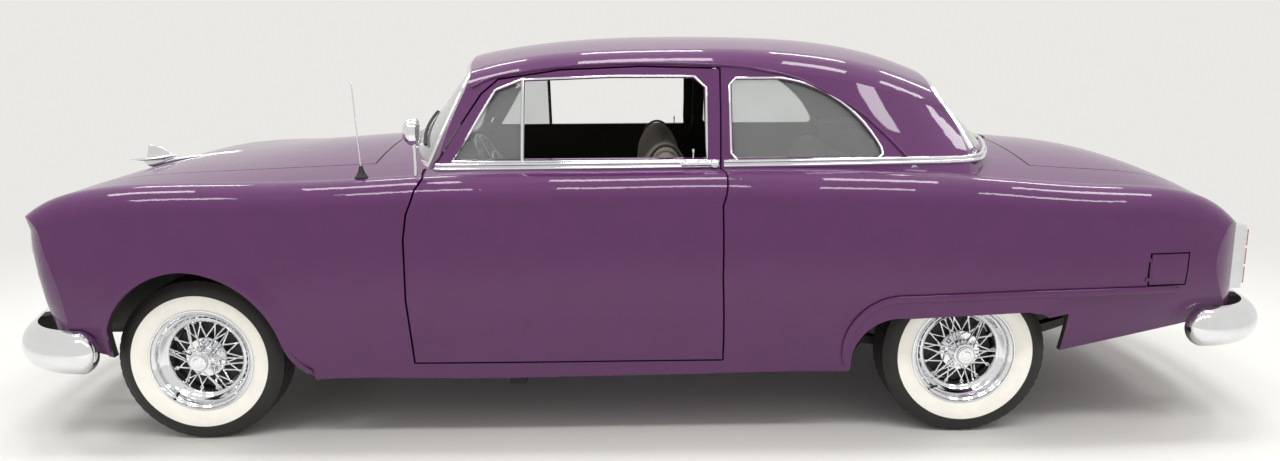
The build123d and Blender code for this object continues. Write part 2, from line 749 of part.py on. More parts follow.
with BuildPart() as quarter_left:
    add(quarter_blank.part)
    add(fuel_pocket.part, mode=Mode.SUBTRACT)
    with Locations((FUEL_HINGE_X - 2, FUEL_HINGE_Y - 4, FUEL_DOOR_Z)):
        Box(16, 24, 82, mode=Mode.SUBTRACT)
    with Locations((FUEL_HINGE_X - 1, FUEL_HINGE_Y - 4, FUEL_DOOR_Z)):
        Box(10, 24, FUEL_DOOR_HEIGHT + 2 * LID_GAP, mode=Mode.SUBTRACT)
    with Locations((FUEL_HINGE_X, FUEL_HINGE_Y, FUEL_DOOR_Z)):
        Cylinder(FUEL_HINGE_PIN, 70)
    for side in (-1, 1):
        with Locations((FUEL_HINGE_X - 7, FUEL_HINGE_Y + 1, FUEL_DOOR_Z + side * 39)):
            Box(18, 6, 14)
save(quarter_left.part, "quarter_panel_left")

with BuildPart() as fuel_door:
    add(fuel_fill)
    add(outer_lower, mode=Mode.INTERSECT)
    add(fuel_back, mode=Mode.SUBTRACT)
    with Locations((FUEL_HINGE_X, FUEL_HINGE_Y, FUEL_DOOR_Z)):
        Cylinder(FUEL_HINGE_RADIUS, 60)
        with Locations((5, 0, 0)):
            Box(10, 5, 60)
        Cylinder(FUEL_HINGE_PIN + HINGE_GAP, 60, mode=Mode.SUBTRACT)
save(fuel_door.part, "fuel_door")

with BuildPart() as rear_floor:
    add(shell.part)
    add(box(KICK_UP, 4000, -REAR_SPLIT, REAR_SPLIT, 0, 1300), mode=Mode.INTERSECT)
    add(lid_cut, mode=Mode.SUBTRACT)
    add(floor_fill, mode=Mode.SUBTRACT)
    add(hinge_room(LID_FRONT, LID_HINGE_Z, -16), mode=Mode.SUBTRACT)
    add(hinge_fork(LID_FRONT, LID_HINGE_Z, -20))

with BuildPart() as trunk_lid:
    add(shell.part)
    add(lid_fill, mode=Mode.INTERSECT)
    add(hinge_room(LID_FRONT, LID_HINGE_Z, 16), mode=Mode.SUBTRACT)
    add(hinge_barrel(LID_FRONT, LID_HINGE_Z, 20))
save(trunk_lid.part, "trunk_lid")

# Lamps: a stepped round bezel with a domed lens, and three domed segments in an upright bezel
LENS_EDGE = -30.0
LENS_FRONT = LENS_EDGE - LENS_RISE
LENS_CURVE = (LENS_RADIUS**2 + LENS_RISE**2) / (2 * LENS_RISE)
LENS_HALFWAY = LENS_FRONT + LENS_CURVE - math.sqrt(LENS_CURVE**2 - LENS_RADIUS**2 / 4)
HEADLAMP_SECTION = [
    (30, 0),
    (30, 100),
    (-18, HEADLAMP_RADIUS - SEAT_GAP),
    (-34, 102),
    (-38, 94),
    (LENS_EDGE, LENS_RADIUS),
]
with BuildPart() as headlamp:
    with BuildSketch(Plane.XY):
        with BuildLine():
            Polyline(*HEADLAMP_SECTION)
            ThreePointArc(HEADLAMP_SECTION[-1], (LENS_HALFWAY, LENS_RADIUS / 2), (LENS_FRONT, 0))
            Line((LENS_FRONT, 0), HEADLAMP_SECTION[0])
        make_face()
    revolve(axis=Axis.X)
with BuildPart() as headlamps:
    for side in (-1, 1):
        add(Pos(HEADLAMP_X, side * HEADLAMP_Y, HEADLAMP_Z) * headlamp.part)
save(headlamps.part, "headlamps")

with BuildPart() as tail_lamps:
    for side in (-1, 1):
        with Locations((RA + 1105, side * TAIL_LAMP_Y, (TAIL_LAMP_LOW + TAIL_LAMP_HIGH) / 2)):
            Box(90, 76, TAIL_LAMP_HIGH - TAIL_LAMP_LOW)
    fillet(tail_lamps.edges().filter_by(Axis.Z).group_by(Axis.X)[-1], 25)
    for side in (-1, 1):
        for row in range(TAIL_SEGMENTS):
            pitch = (TAIL_LAMP_HIGH - TAIL_LAMP_LOW - 24) / TAIL_SEGMENTS
            level = TAIL_LAMP_LOW + 12 + pitch * (row + 0.5)
            with Locations((RA + 1140, side * TAIL_LAMP_Y, level)):
                Cylinder(26, pitch - 10)
save(tail_lamps.part, "tail_lamps")


def bumper(middle, shoulder, end, low, high, facing):
    """A bar of D section along two tangent arcs on each side, its ends turned round."""
    level = (low + high) / 2
    half = (high - low) / 2
    with BuildPart() as bar:
        with BuildLine():
            bow = TangentArc((middle[0], middle[1], level), (shoulder[0], shoulder[1], level), tangent=(0, 1, 0))
            wrap = TangentArc(bow @ 1, (end[0], end[1], level), tangent=bow % 1)
        with BuildSketch(Plane(origin=bow @ 0, x_dir=(facing, 0, 0), z_dir=(0, 1, 0))):
            with BuildLine():
                ThreePointArc((-BUMPER_DEPTH, half), (0, 0), (-BUMPER_DEPTH, -half))
                Line((-BUMPER_DEPTH, -half), (-BUMPER_DEPTH, half))
            make_face()
        sweep()
        along = wrap % 1
        outward = Vector(along.Y, -along.X, 0) * facing
        back = (wrap @ 1) - outward * BUMPER_DEPTH
        with BuildSketch(Plane(origin=wrap @ 1, x_dir=outward, z_dir=along)):
            with BuildLine():
                ThreePointArc((-BUMPER_DEPTH, half), (0, 0), (-BUMPER_DEPTH, -half))
                Line((-BUMPER_DEPTH, -half), (-BUMPER_DEPTH, half))
            make_face()
        revolve(axis=Axis(back, (0, 0, facing)), revolution_arc=90)
        mirror(about=Plane.XZ)
    return bar.part


front_bumper = bumper(
    (FA - FRONT_OVERHANG, 0), (FA - 765, 745), (FA - 430, 985), FRONT_BUMPER_LOW, FRONT_BUMPER_HIGH, -1
)
rear_bumper = bumper(
    (RA + REAR_OVERHANG, 0), (RA + 1255, 735), (RA + 935, 968), REAR_BUMPER_LOW, REAR_BUMPER_HIGH, 1
)
save(front_bumper, "front_bumper")
save(rear_bumper, "rear_bumper")

# Grille of level bars that follow the nose, held by the front fenders
GRILLE_LOW = 520.0
GRILLE_HIGH = 842.0
with BuildPart() as grille:
    for row in range(GRILLE_BARS):
        height = GRILLE_LOW + (GRILLE_HIGH - GRILLE_LOW) * row / (GRILLE_BARS - 1)
        face = FA - NOSE_REACH + NOSE_LEAN * (NOSE_LEVEL - height) + 6
        with BuildSketch(Plane.XY.offset(height - 12)):
            with BuildLine():
                ThreePointArc((face + 33, -GRILLE_HALF), (face, 0), (face + 33, GRILLE_HALF))
                Line((face + 33, GRILLE_HALF), (face + 59, GRILLE_HALF))
                ThreePointArc((face + 59, GRILLE_HALF), (face + 26, 0), (face + 59, -GRILLE_HALF))
                Line((face + 59, -GRILLE_HALF), (face + 33, -GRILLE_HALF))
            make_face()
        extrude(amount=24)
    for side in (-1, 0, 1):
        with BuildSketch(Plane.XZ.offset(side * GRILLE_POST + 12)):
            with BuildLine():
                Polyline(
                    (FA - 590, GRILLE_LOW),
                    (FA - 681, GRILLE_HIGH),
                    (FA - 640, GRILLE_HIGH),
                    (FA - 549, GRILLE_LOW),
                    close=True,
                )
            make_face()
        extrude(amount=-24)
    add(plan_prism(hood_plan, 100, HOOD_LIP), mode=Mode.INTERSECT)

# Chassis frame
RAIL_WIDTH = 75.0
RAIL_HEIGHT = 84.0
# x, y_rail, z_rail along the left rail
RAIL_PATH = [
    (FA - 815, 420, 387),
    (FA - 450, 420, 387),
    (FA - 200, 420, 300),
    (FA + 300, 430, 300),
    (FA + 680, 560, 216),
    (KICK_UP + 45, 560, 216),
    (KICK_UP + 230, 520, 452),
    (RA + 1275, 520, 452),
]
# x, y_half, z_middle
CROSSMEMBERS = [(FA - 420, 420, 372), (FA + 1250, 590, 156), (RA + 800, 520, 452)]
MOUNT_RADIUS = 34.0
MOUNT_HALF = 560.0
MOUNT_PLACES = (FA + 820, FA + 1500, FA + 2150)
with BuildPart() as frame_rails:
    with BuildSketch(Plane.XY):
        for side in (-1, 1):
            with BuildLine():
                outer = [(x, side * (y + RAIL_WIDTH / 2)) for x, y, z in RAIL_PATH]
                inner = [(x, side * (y - RAIL_WIDTH / 2)) for x, y, z in RAIL_PATH]
                Polyline(*outer, *reversed(inner), close=True)
            make_face()
    extrude(amount=800)
    with BuildSketch(Plane.XZ):
        with BuildLine():
            upper = [(x, z + RAIL_HEIGHT / 2) for x, y, z in RAIL_PATH]
            lower = [(x, z - RAIL_HEIGHT / 2) for x, y, z in RAIL_PATH]
            Polyline(*upper, *reversed(lower), close=True)
        make_face()
    extrude(amount=1200, both=True, mode=Mode.INTERSECT)
    for x, half, z in CROSSMEMBERS:
        with Locations((x, 0, z)):
            Box(70, 2 * half, 44)
    for x in MOUNT_PLACES:
        for side in (-1, 1):
            with Locations((x, side * MOUNT_HALF, 260)):
                Cylinder(MOUNT_RADIUS, 60)
    add(floor.part, mode=Mode.SUBTRACT)
    add(front_bumper, mode=Mode.SUBTRACT)
    add(rear_bumper, mode=Mode.SUBTRACT)
frame_pieces = frame_rails.part
save(rear_floor.part - frame_pieces, "rear_floor")

# Engine with gearbox, one plain block at its real place
ENGINE_FRONT = FA - 330.0
ENGINE_REAR = FA + 460.0
with BuildPart() as engine:
    add(box(ENGINE_FRONT, ENGINE_REAR, -150, 150, 362, 860))
    add(box(ENGINE_FRONT + 150, ENGINE_REAR - 60, -120, 120, 352, 362))
    add(box(ENGINE_REAR - 10, FIREWALL - 8, -150, 150, 190, 560))
    add(box(ENGINE_FRONT + 130, ENGINE_FRONT + 210, -400, 400, 342, 372))

# Shaft from the gearbox through a centre bearing to the rear axle
SHAFT_RADIUS = 32.0
SHAFT_HEIGHT = 218.0
BEARING = KICK_UP + 42.0
with BuildPart() as shaft:
    with BuildSketch(Plane.YZ.offset(FIREWALL - 8)):
        with Locations((0, SHAFT_HEIGHT)):
            Circle(SHAFT_RADIUS)
    extrude(amount=BEARING - FIREWALL + 8)
    with BuildSketch(
        Plane(origin=(BEARING, 0, SHAFT_HEIGHT), z_dir=(RA - 110 - BEARING, 0, AXLE_HEIGHT - SHAFT_HEIGHT))
    ):
        Circle(SHAFT_RADIUS)
    extrude(amount=math.hypot(RA - 110 - BEARING, AXLE_HEIGHT - SHAFT_HEIGHT))
    with Locations((BEARING, 0, SHAFT_HEIGHT)):
        Sphere(SHAFT_RADIUS)

# Rear axle with its springs
TUBE_RADIUS = 42.0
DIFF_RADIUS = 132.0
STUB_HALF = TRACK_REAR / 2 + 55
with BuildPart() as rear_axle:
    with Locations((RA, 0, AXLE_HEIGHT)):
        Cylinder(TUBE_RADIUS, TRACK_REAR - 92, rotation=(90, 0, 0))
        Cylinder(SPINDLE_RADIUS, 2 * STUB_HALF, rotation=(90, 0, 0))
        Sphere(DIFF_RADIUS)
    for side in (-1, 1):
        with Locations((RA, side * (TRACK_REAR / 2 - 44), AXLE_HEIGHT)):
            Cylinder(130, 4, rotation=(90, 0, 0))
    with Locations((RA - 120, 0, AXLE_HEIGHT)):
        Cylinder(48, 60, rotation=(0, 90, 0))
    add(shaft.part, mode=Mode.SUBTRACT)

SPRING_HALF = 560.0
SPRING_WIDTH = 50.0
with BuildPart() as springs:
    for side in (-1, 1):
        with BuildSketch(Plane.XZ.offset(-side * SPRING_HALF - SPRING_WIDTH / 2)):
            with BuildLine():
                ThreePointArc((RA - 440, 320), (RA, 272), (RA + 640, 420))
                Line((RA + 640, 420), (RA + 640, 452))
                ThreePointArc((RA + 640, 452), (RA, 312), (RA - 440, 352))
                Line((RA - 440, 352), (RA - 440, 320))
            make_face()
        extrude(amount=SPRING_WIDTH)
    add(frame_pieces, mode=Mode.SUBTRACT)
    add(rear_axle.part)

# Front suspension with the kingpins
ARM_OFFSET = 91.0
BOSS_HALF = 72.0
with BuildPart() as suspension:
    add(box(FA - 85, FA + 85, -392.5, 392.5, 232, 342))
    for side in (-1, 1):
        for level in (-1, 1):
            with BuildSketch(Plane.XY.offset(AXLE_HEIGHT + level * ARM_OFFSET - 13)):
                with BuildLine():
                    Polyline(
                        (FA - 110, side * 340),
                        (FA - 24, side * KINGPIN_HALF),
                        (FA + 24, side * KINGPIN_HALF),
                        (FA + 110, side * 340),
                        close=True,
                    )
                make_face()
                with Locations((FA, side * KINGPIN_HALF)):
                    Circle(24)
            extrude(amount=26)
        with Locations((FA, side * KINGPIN_HALF, AXLE_HEIGHT)):
            Cylinder(KINGPIN_RADIUS, 2 * ARM_OFFSET)
        add(box(FA - 85, FA + 85, side * 366 - 26, side * 366 + 26, 330, AXLE_HEIGHT + ARM_OFFSET + 13))
    add(frame_pieces, mode=Mode.SUBTRACT)

# Steering knuckles
with BuildPart() as knuckle:
    with Locations((FA, -KINGPIN_HALF, AXLE_HEIGHT)):
        Cylinder(22, 2 * BOSS_HALF)
    with BuildSketch(Plane.XZ.offset(KINGPIN_HALF)):
        with Locations((FA, AXLE_HEIGHT)):
            Circle(SPINDLE_RADIUS)
    extrude(amount=TRACK_FRONT / 2 + 55 - KINGPIN_HALF)
    with Locations((FA, -(TRACK_FRONT / 2 - 44), AXLE_HEIGHT)):
        Cylinder(130, 4, rotation=(90, 0, 0))
    with Locations((FA, -KINGPIN_HALF, AXLE_HEIGHT)):
        Cylinder(KINGPIN_RADIUS + PIN_GAP, 2 * BOSS_HALF, mode=Mode.SUBTRACT)

# Exhaust and fuel tank
EXHAUST_Y = 330.0
EXHAUST_Z = 226.0
with BuildPart() as exhaust:
    with BuildLine():
        FilletPolyline(
            (FA + 230, 150, 560),
            (FA + 230, 300, 560),
            (FA + 230, 300, 320),
            (FA + 480, EXHAUST_Y, EXHAUST_Z),
            (RA + 700, EXHAUST_Y, EXHAUST_Z),
            (RA + 1230, EXHAUST_Y + 60, 300),
            radius=60,
        )
    with BuildSketch(Plane(origin=(FA + 230, 150, 560), z_dir=(0, 1, 0))):
        Circle(24)
    sweep()
    with Locations((FA + 1800, EXHAUST_Y, EXHAUST_Z - 6)):
        Box(560, 170, 84)

with BuildPart() as tank:
    add(box(RA + 330, RA + 740, -420, 250, 330, TRUNK_UNDER))
    fillet(tank.edges().filter_by(Axis.Y), 40)


# Wheel and tyre about their own centre, outer face toward minus Y
def ring(points):
    with BuildPart() as turned:
        with BuildSketch(Plane.YZ):
            with BuildLine():
                Polyline(*points, close=True)
            make_face()
        revolve(axis=Axis.Y)
    return turned.part


RIM_SECTION = [
    (-80, RIM_RADIUS),
    (-71, RIM_RADIUS),
    (-70, RIM_RADIUS - 8),
    (-40, RIM_RADIUS - 8),
    (-28, SPOKE_RING + 10),
    (28, SPOKE_RING + 10),
    (40, RIM_RADIUS - 8),
    (70, RIM_RADIUS - 8),
    (71, RIM_RADIUS),
    (80, RIM_RADIUS),
    (74, RIM_RADIUS - 16),
    (44, RIM_RADIUS - 16),
    (34, SPOKE_RING),
    (-34, SPOKE_RING),
    (-44, RIM_RADIUS - 16),
    (-74, RIM_RADIUS - 16),
]
HALF_TYRE = TYRE_WIDTH / 2
with BuildPart() as tyre:
    with BuildSketch(Plane.YZ):
        with BuildLine():
            Line((-70, RIM_RADIUS - 8), (70, RIM_RADIUS - 8))
            ThreePointArc((70, RIM_RADIUS - 8), (HALF_TYRE, 258), (84, TYRE_RADIUS - 15))
            ThreePointArc((84, TYRE_RADIUS - 15), (78, TYRE_RADIUS - 5), (64, TYRE_RADIUS))
            Line((64, TYRE_RADIUS), (-64, TYRE_RADIUS))
            ThreePointArc((-64, TYRE_RADIUS), (-78, TYRE_RADIUS - 5), (-84, TYRE_RADIUS - 15))
            ThreePointArc((-84, TYRE_RADIUS - 15), (-HALF_TYRE, 258), (-70, RIM_RADIUS - 8))
        make_face()
    revolve(axis=Axis.Y)
    add(ring(RIM_SECTION), mode=Mode.SUBTRACT)

HUB_SECTION = [
    (-98, 0),
    (-98, 36),
    (-84, HUB_RADIUS - 10),
    (-70, HUB_RADIUS),
    (5, HUB_RADIUS),
    (5, DRUM_RADIUS),
    (38, DRUM_RADIUS),
    (38, SPINDLE_RADIUS + PIN_GAP),
    (-58, SPINDLE_RADIUS + PIN_GAP),
    (-58, 0),
]
# Spoke layers: y_hub, y_rim, count, turn
SPOKE_LAYERS = [(-62, -18, 2 * SPOKE_PAIRS, 11.0), (-20, 0, 2 * SPOKE_PAIRS, -11.0)]
with BuildPart() as wheel:
    add(ring(RIM_SECTION))
    add(ring(HUB_SECTION))
    for y_hub, y_rim, count, turn in SPOKE_LAYERS:
        for step in range(count):
            at_hub = math.radians(360 / count * step - turn)
            at_rim = math.radians(360 / count * step + turn)
            start = Vector((HUB_RADIUS - 6) * math.cos(at_hub), y_hub, (HUB_RADIUS - 6) * math.sin(at_hub))
            end = Vector((SPOKE_RING + 4) * math.cos(at_rim), y_rim, (SPOKE_RING + 4) * math.sin(at_rim))
            with BuildSketch(Plane(origin=start, z_dir=end - start)):
                Circle(SPOKE_RADIUS)
        extrude(amount=(end - start).length)

WHEEL_PLACES = [
    ("front_left", FA, -TRACK_FRONT / 2),
    ("front_right", FA, TRACK_FRONT / 2),
    ("rear_left", RA, -TRACK_REAR / 2),
    ("rear_right", RA, TRACK_REAR / 2),
]
for place, x, y in WHEEL_PLACES:
    for blank, kind in ((tyre.part, "tyre"), (wheel.part, "wheel")):
        turned = blank if y < 0 else mirror(blank, about=Plane.XZ)
        save(Pos(x, y, AXLE_HEIGHT) * turned, f"{kind}_{place}")

save(grille.part, "grille")
save(frame_pieces, "chassis_frame")
save(engine.part + shaft.part, "engine_and_shaft")
save(springs.part, "rear_axle_and_springs")
save(suspension.part, "front_suspension")
save(knuckle.part, "knuckle_left")
save(mirror(knuckle.part, about=Plane.XZ), "knuckle_right")
save(exhaust.part, "exhaust")
save(tank.part, "fuel_tank")

# Seats
SEAT_HALF = 640.0
REAR_SEAT_HALF = 585.0


def seat(profile, half, radius, soft_from):
    """A bench: one outline in X and Z carried across, its edges rounded."""
    with BuildPart() as bench:
        with BuildSketch(Plane.XZ) as sketch:
            with BuildLine():
                Polyline(*profile, close=True)
            make_face()
            fillet(sketch.vertices().sort_by(Axis.Y)[soft_from:], radius)
        extrude(amount=half, both=True)
    return bench.part


front_seat = seat(
    [
        (FA + 1400, FLOOR_TOP),
        (FA + 1330, 560),
        (FA + 1370, 660),
        (FA + 1800, 620),
        (FA + 1860, 1225),
        (FA + 2005, 1225),
        (FA + 1990, FLOOR_TOP),
    ],
    SEAT_HALF,
    45,
    2,
)
save(front_seat, "front_seat")
rear_seat = seat(
    [
        (RA - 1010, FLOOR_TOP),
        (RA - 1010, 560),
        (RA - 980, 660),
        (RA - 580, 620),
        (RA - 470, 1130),
        (SEAT_BULKHEAD - 8, 1130),
        (SEAT_BULKHEAD - 8, TRUNK_FLOOR),
        (KICK_UP, TRUNK_FLOOR),
        (KICK_UP, FLOOR_TOP),
    ],
    REAR_SEAT_HALF,
    28,
    4,
)
save(rear_seat, "rear_seat")

# Dashboard, steering column and steering wheel
STEER_Y = -380.0
COLUMN_LOW = Vector(FIREWALL_REAR, STEER_Y, 760)
COLUMN_HIGH = Vector(FA + 1165, STEER_Y, 990)
COLUMN_AXIS = (COLUMN_HIGH - COLUMN_LOW).normalized()
COLUMN_RADIUS = 24.0
STEERING_WHEEL_RADIUS = 215.0
with BuildPart() as column:
    with BuildSketch(Plane(origin=COLUMN_LOW - COLUMN_AXIS * 60, z_dir=COLUMN_AXIS)):
        Circle(COLUMN_RADIUS)
    extrude(amount=(COLUMN_HIGH - COLUMN_LOW).length + 60)
    add(box(FIREWALL - 100, FIREWALL_REAR, -600, 0, 600, 900), mode=Mode.SUBTRACT)

with BuildPart() as dashboard:
    with BuildSketch(Plane.XZ):
        with BuildLine():
            Polyline(
                (FIREWALL_REAR, 830),
                (FIREWALL_REAR, 1020),
                (FA + 800, 1040),
                (FA + 930, 1040),
                (FA + 950, 1000),
                (FA + 900, 830),
                close=True,
            )
        make_face()
    extrude(amount=DASH_HALF, both=True)
    add(column.part)
save(dashboard.part, "dashboard")

with BuildPart() as steering_wheel:
    with Locations(Plane(origin=COLUMN_HIGH + COLUMN_AXIS * 22.4, z_dir=COLUMN_AXIS)):
        Torus(STEERING_WHEEL_RADIUS, 11)
        Cylinder(34, 44)
        for turn in (0, 120, 240):
            with Locations(Rotation(0, 0, turn)):
                with Locations((STEERING_WHEEL_RADIUS / 2, 0, 0)):
                    Box(STEERING_WHEEL_RADIUS, 16, 10)
save(steering_wheel.part, "steering_wheel")

# Mirror, antenna and hood ornament
MIRROR_X = FA + 905.0
MIRROR_Y = -858.0
with BuildPart() as mirror_part:
    with Locations((MIRROR_X, MIRROR_Y, 1150)):
        Cylinder(7, 160)
    with Locations((MIRROR_X + 4, MIRROR_Y - 20, 1260)):
        Cylinder(52, 26, rotation=(0, 90, 0))
    with Locations((MIRROR_X, MIRROR_Y - 4, 1215)):
        Cylinder(8, 40)
    add(outer_lower, mode=Mode.SUBTRACT)
save(mirror_part.part, "door_mirror")

ANTENNA_X = FA + 690.0
ANTENNA_Y = -845.0
with BuildPart() as antenna:
    with Locations((ANTENNA_X, ANTENNA_Y, 1090)):
        Cylinder(16, 70)
    with Locations((ANTENNA_X, ANTENNA_Y, 1280)):
        Cylinder(4, 340)
    add(outer_lower, mode=Mode.SUBTRACT)
save(antenna.part, "antenna")

with BuildPart() as ornament:
    with BuildSketch(Plane.XZ):
        with BuildLine():
            Polyline(
                (FA - 560, 990),
                (FA - 625, 1067),
                (FA - 600, 1082),
                (FA - 490, 1112),
                (FA - 430, 1060),
                (FA - 90, 1105),
                (FA - 90, 1070),
                (FA - 440, 1000),
                close=True,
            )
        make_face()
    extrude(amount=11, both=True)
    add(outer_lower, mode=Mode.SUBTRACT)
save(ornament.part, "hood_ornament")
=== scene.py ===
"""Looks of the two-door club sedan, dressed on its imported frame, in metres."""

import math

import bmesh
import bpy
from mathutils import Matrix, Vector
from mathutils.bvhtree import BVHTree


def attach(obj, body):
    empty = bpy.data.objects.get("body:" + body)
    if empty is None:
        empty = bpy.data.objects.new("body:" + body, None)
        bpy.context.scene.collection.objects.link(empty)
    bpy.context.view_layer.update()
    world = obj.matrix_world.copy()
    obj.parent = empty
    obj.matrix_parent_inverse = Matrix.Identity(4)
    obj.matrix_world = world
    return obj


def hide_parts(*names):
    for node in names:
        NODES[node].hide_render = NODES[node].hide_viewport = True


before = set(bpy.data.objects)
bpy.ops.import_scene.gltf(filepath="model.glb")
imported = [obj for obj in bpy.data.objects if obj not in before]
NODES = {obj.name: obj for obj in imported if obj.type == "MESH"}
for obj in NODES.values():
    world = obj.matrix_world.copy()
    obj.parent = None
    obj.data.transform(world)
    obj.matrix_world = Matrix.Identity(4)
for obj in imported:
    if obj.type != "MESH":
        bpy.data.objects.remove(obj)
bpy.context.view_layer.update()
scene = bpy.context.scene
scene.view_settings.view_transform = "Standard"

# Places shared with the solids
FA = -1.7795
RA = 1.3195
DOOR_FRONT = FA + 0.870
DOOR_REAR = FA + 2.100
AXLE_HEIGHT = 0.336
TRACK_FRONT = 1.524
TRACK_REAR = 1.542
TYRE_RADIUS = 0.336

# Camera of the photograph
CAMERA_PLACE = Vector((-0.0533, -4.7871, 1.6336))
CAMERA_PITCH = math.radians(11.13)
CAMERA_YAW = math.radians(0.79)
CAMERA_ROLL = math.radians(-0.34)
CAMERA_LENS = 28.41

# Colours
PLUM = (0.087, 0.0160, 0.092)
LINING = (0.030, 0.027, 0.025)
CHROME = (0.80, 0.81, 0.83)
CREAM = (0.96, 0.935, 0.87)
RUBBER = (0.014, 0.013, 0.012)
TAUPE = (0.34, 0.305, 0.262)
PALE = (0.80, 0.79, 0.765)
BACKDROP = (0.82, 0.81, 0.785)
PAINT_COAT = 0.7
FADE_START = 2.0
FADE_END = 6.5


# Materials
def add_node(tree, kind, inputs, operation=None):
    """A shader node whose inputs are values, or links where an output is given."""
    made = tree.nodes.new("ShaderNode" + kind)
    if operation:
        made.operation = operation
    for key, value in inputs.items():
        if isinstance(value, bpy.types.NodeSocket):
            tree.links.new(value, made.inputs[key])
        else:
            made.inputs[key].default_value = value
    return made


def material(
    name, colour, rough, metal=0.0, coat=0.0, grain=40.0, spread=0.08, bump=0.0, bump_grain=300.0
):
    """A surface whose colour, gloss and relief vary by noise in object space."""
    made = bpy.data.materials.new(name)
    made.use_nodes = True
    tree = made.node_tree
    shader = tree.nodes["Principled BSDF"]
    shader.inputs["Metallic"].default_value = metal
    shader.inputs["Coat Weight"].default_value = coat
    shader.inputs["Coat Roughness"].default_value = 0.03
    place = add_node(tree, "TexCoord", {}).outputs["Object"]
    noise = add_node(tree, "TexNoise", {"Scale": grain, "Detail": 4.0, "Vector": place}).outputs["Fac"]
    ramp = add_node(tree, "ValToRGB", {"Fac": noise})
    dark, light = ramp.color_ramp.elements
    dark.position, light.position = 0.3, 0.7
    dark.color = (*[c * (1 - spread) for c in colour], 1)
    light.color = (*[min(1, c * (1 + spread)) for c in colour], 1)
    tree.links.new(ramp.outputs["Color"], shader.inputs["Base Color"])
    gloss = add_node(tree, "MapRange", {"To Min": rough * 0.85, "To Max": rough * 1.15, "Value": noise})
    tree.links.new(gloss.outputs["Result"], shader.inputs["Roughness"])
    if bump:
        fine = add_node(tree, "TexNoise", {"Scale": bump_grain, "Vector": place}).outputs["Fac"]
        relief = add_node(tree, "Bump", {"Strength": bump, "Distance": 0.002, "Height": fine})
        tree.links.new(relief.outputs["Normal"], shader.inputs["Normal"])
    return made


def line_inside(made, colour, middle):
    """Gives the faces that look toward the middle of the car a matt lining colour."""
    tree = made.node_tree
    shader = tree.nodes["Principled BSDF"]
    normal = add_node(tree, "NewGeometry", {}).outputs["Normal"]
    place = add_node(tree, "TexCoord", {}).outputs["Object"]
    away = add_node(tree, "VectorMath", {0: place, 1: middle}, "SUBTRACT").outputs["Vector"]
    facing = add_node(tree, "VectorMath", {0: normal, 1: away}, "DOT_PRODUCT").outputs["Value"]
    inner = add_node(tree, "Math", {0: facing, 1: 0.0}, "LESS_THAN").outputs["Value"]
    mix = tree.nodes.new("ShaderNodeMix")
    mix.data_type = "RGBA"
    mix.inputs["B"].default_value = (*colour, 1)
    tree.links.new(inner, mix.inputs["Factor"])
    tree.links.new(shader.inputs["Base Color"].links[0].from_socket, mix.inputs["A"])
    tree.links.new(mix.outputs["Result"], shader.inputs["Base Color"])
    polished = shader.inputs["Roughness"].links[0].from_socket
    rough = add_node(tree, "Math", {0: inner, 1: 0.8}, "MULTIPLY").outputs["Value"]
    matt = add_node(tree, "Math", {0: polished, 1: rough}, "MAXIMUM")
    tree.links.new(matt.outputs["Value"], shader.inputs["Roughness"])
    bare = add_node(tree, "Math", {0: inner, 1: -PAINT_COAT, 2: PAINT_COAT}, "MULTIPLY_ADD")
    tree.links.new(bare.outputs["Value"], shader.inputs["Coat Weight"])


def clear_material(name, colour, rough, haze, bend):
    made = material(name, colour, rough, spread=0.02, grain=6.0)
    shader = made.node_tree.nodes["Principled BSDF"]
    shader.inputs["Transmission Weight"].default_value = 1.0 - haze
    shader.inputs["IOR"].default_value = bend
    return made


CABIN_MIDDLE = (0.1, 0.0, 0.70)
paint = material("plum_paint", PLUM, 0.42, 0.0, PAINT_COAT, 9.0, 0.05, 0.02, 420.0)
line_inside(paint, LINING, CABIN_MIDDLE)
plain_paint = material("plum_trim_paint", PLUM, 0.42, 0.0, PAINT_COAT, 9.0, 0.05, 0.02, 420.0)
for look in (paint, plain_paint):
    look.node_tree.nodes["Principled BSDF"].inputs["Specular IOR Level"].default_value = 0.12
chrome = material("chrome", CHROME, 0.07, 1.0, 0.0, 14.0, 0.03)
dull_metal = material("dull_metal", (0.42, 0.42, 0.43), 0.38, 1.0, 0.0, 60.0, 0.15, 0.1)
rubber = material("tyre_rubber", RUBBER, 0.62, 0.0, 0.0, 55.0, 0.25, 0.25, 500.0)
whitewall = material("whitewall_rubber", CREAM, 0.45, 0.0, 0.0, 18.0, 0.03, 0.06, 260.0)
chassis_black = material("chassis_black", (0.012, 0.012, 0.012), 0.5, 0.0, 0.0, 26.0, 0.3, 0.15, 160.0)
engine_paint = material("engine_paint", (0.05, 0.06, 0.06), 0.42, 0.0, 0.0, 22.0, 0.25, 0.1, 160.0)
dash_paint = material("dash_paint", (0.020, 0.016, 0.020), 0.35, 0.0, 0.3, 20.0, 0.15, 0.05)
trim_vinyl = material("trim_vinyl", (0.026, 0.023, 0.021), 0.62, 0.0, 0.0, 90.0, 0.2, 0.35, 700.0)
seat_cloth = material("seat_cloth", TAUPE, 0.9, 0.0, 0.0, 240.0, 0.16, 0.5, 900.0)
wheel_plastic = material("wheel_plastic", (0.02, 0.019, 0.018), 0.28, 0.0, 0.4, 30.0, 0.1)
pale_metal = material("pale_metal", (0.74, 0.75, 0.76), 0.16, 0.9, 0.3, 14.0, 0.04)
black_rubber = material("black_rubber", (0.012, 0.012, 0.012), 0.7, 0.0, 0.0, 40.0, 0.2, 0.1)
window_glass = clear_material("window_glass", (0.84, 0.86, 0.86), 0.02, 0.10, 1.40)
lamp_glass = clear_material("lamp_glass", (0.95, 0.96, 0.97), 0.04, 0.02, 1.30)
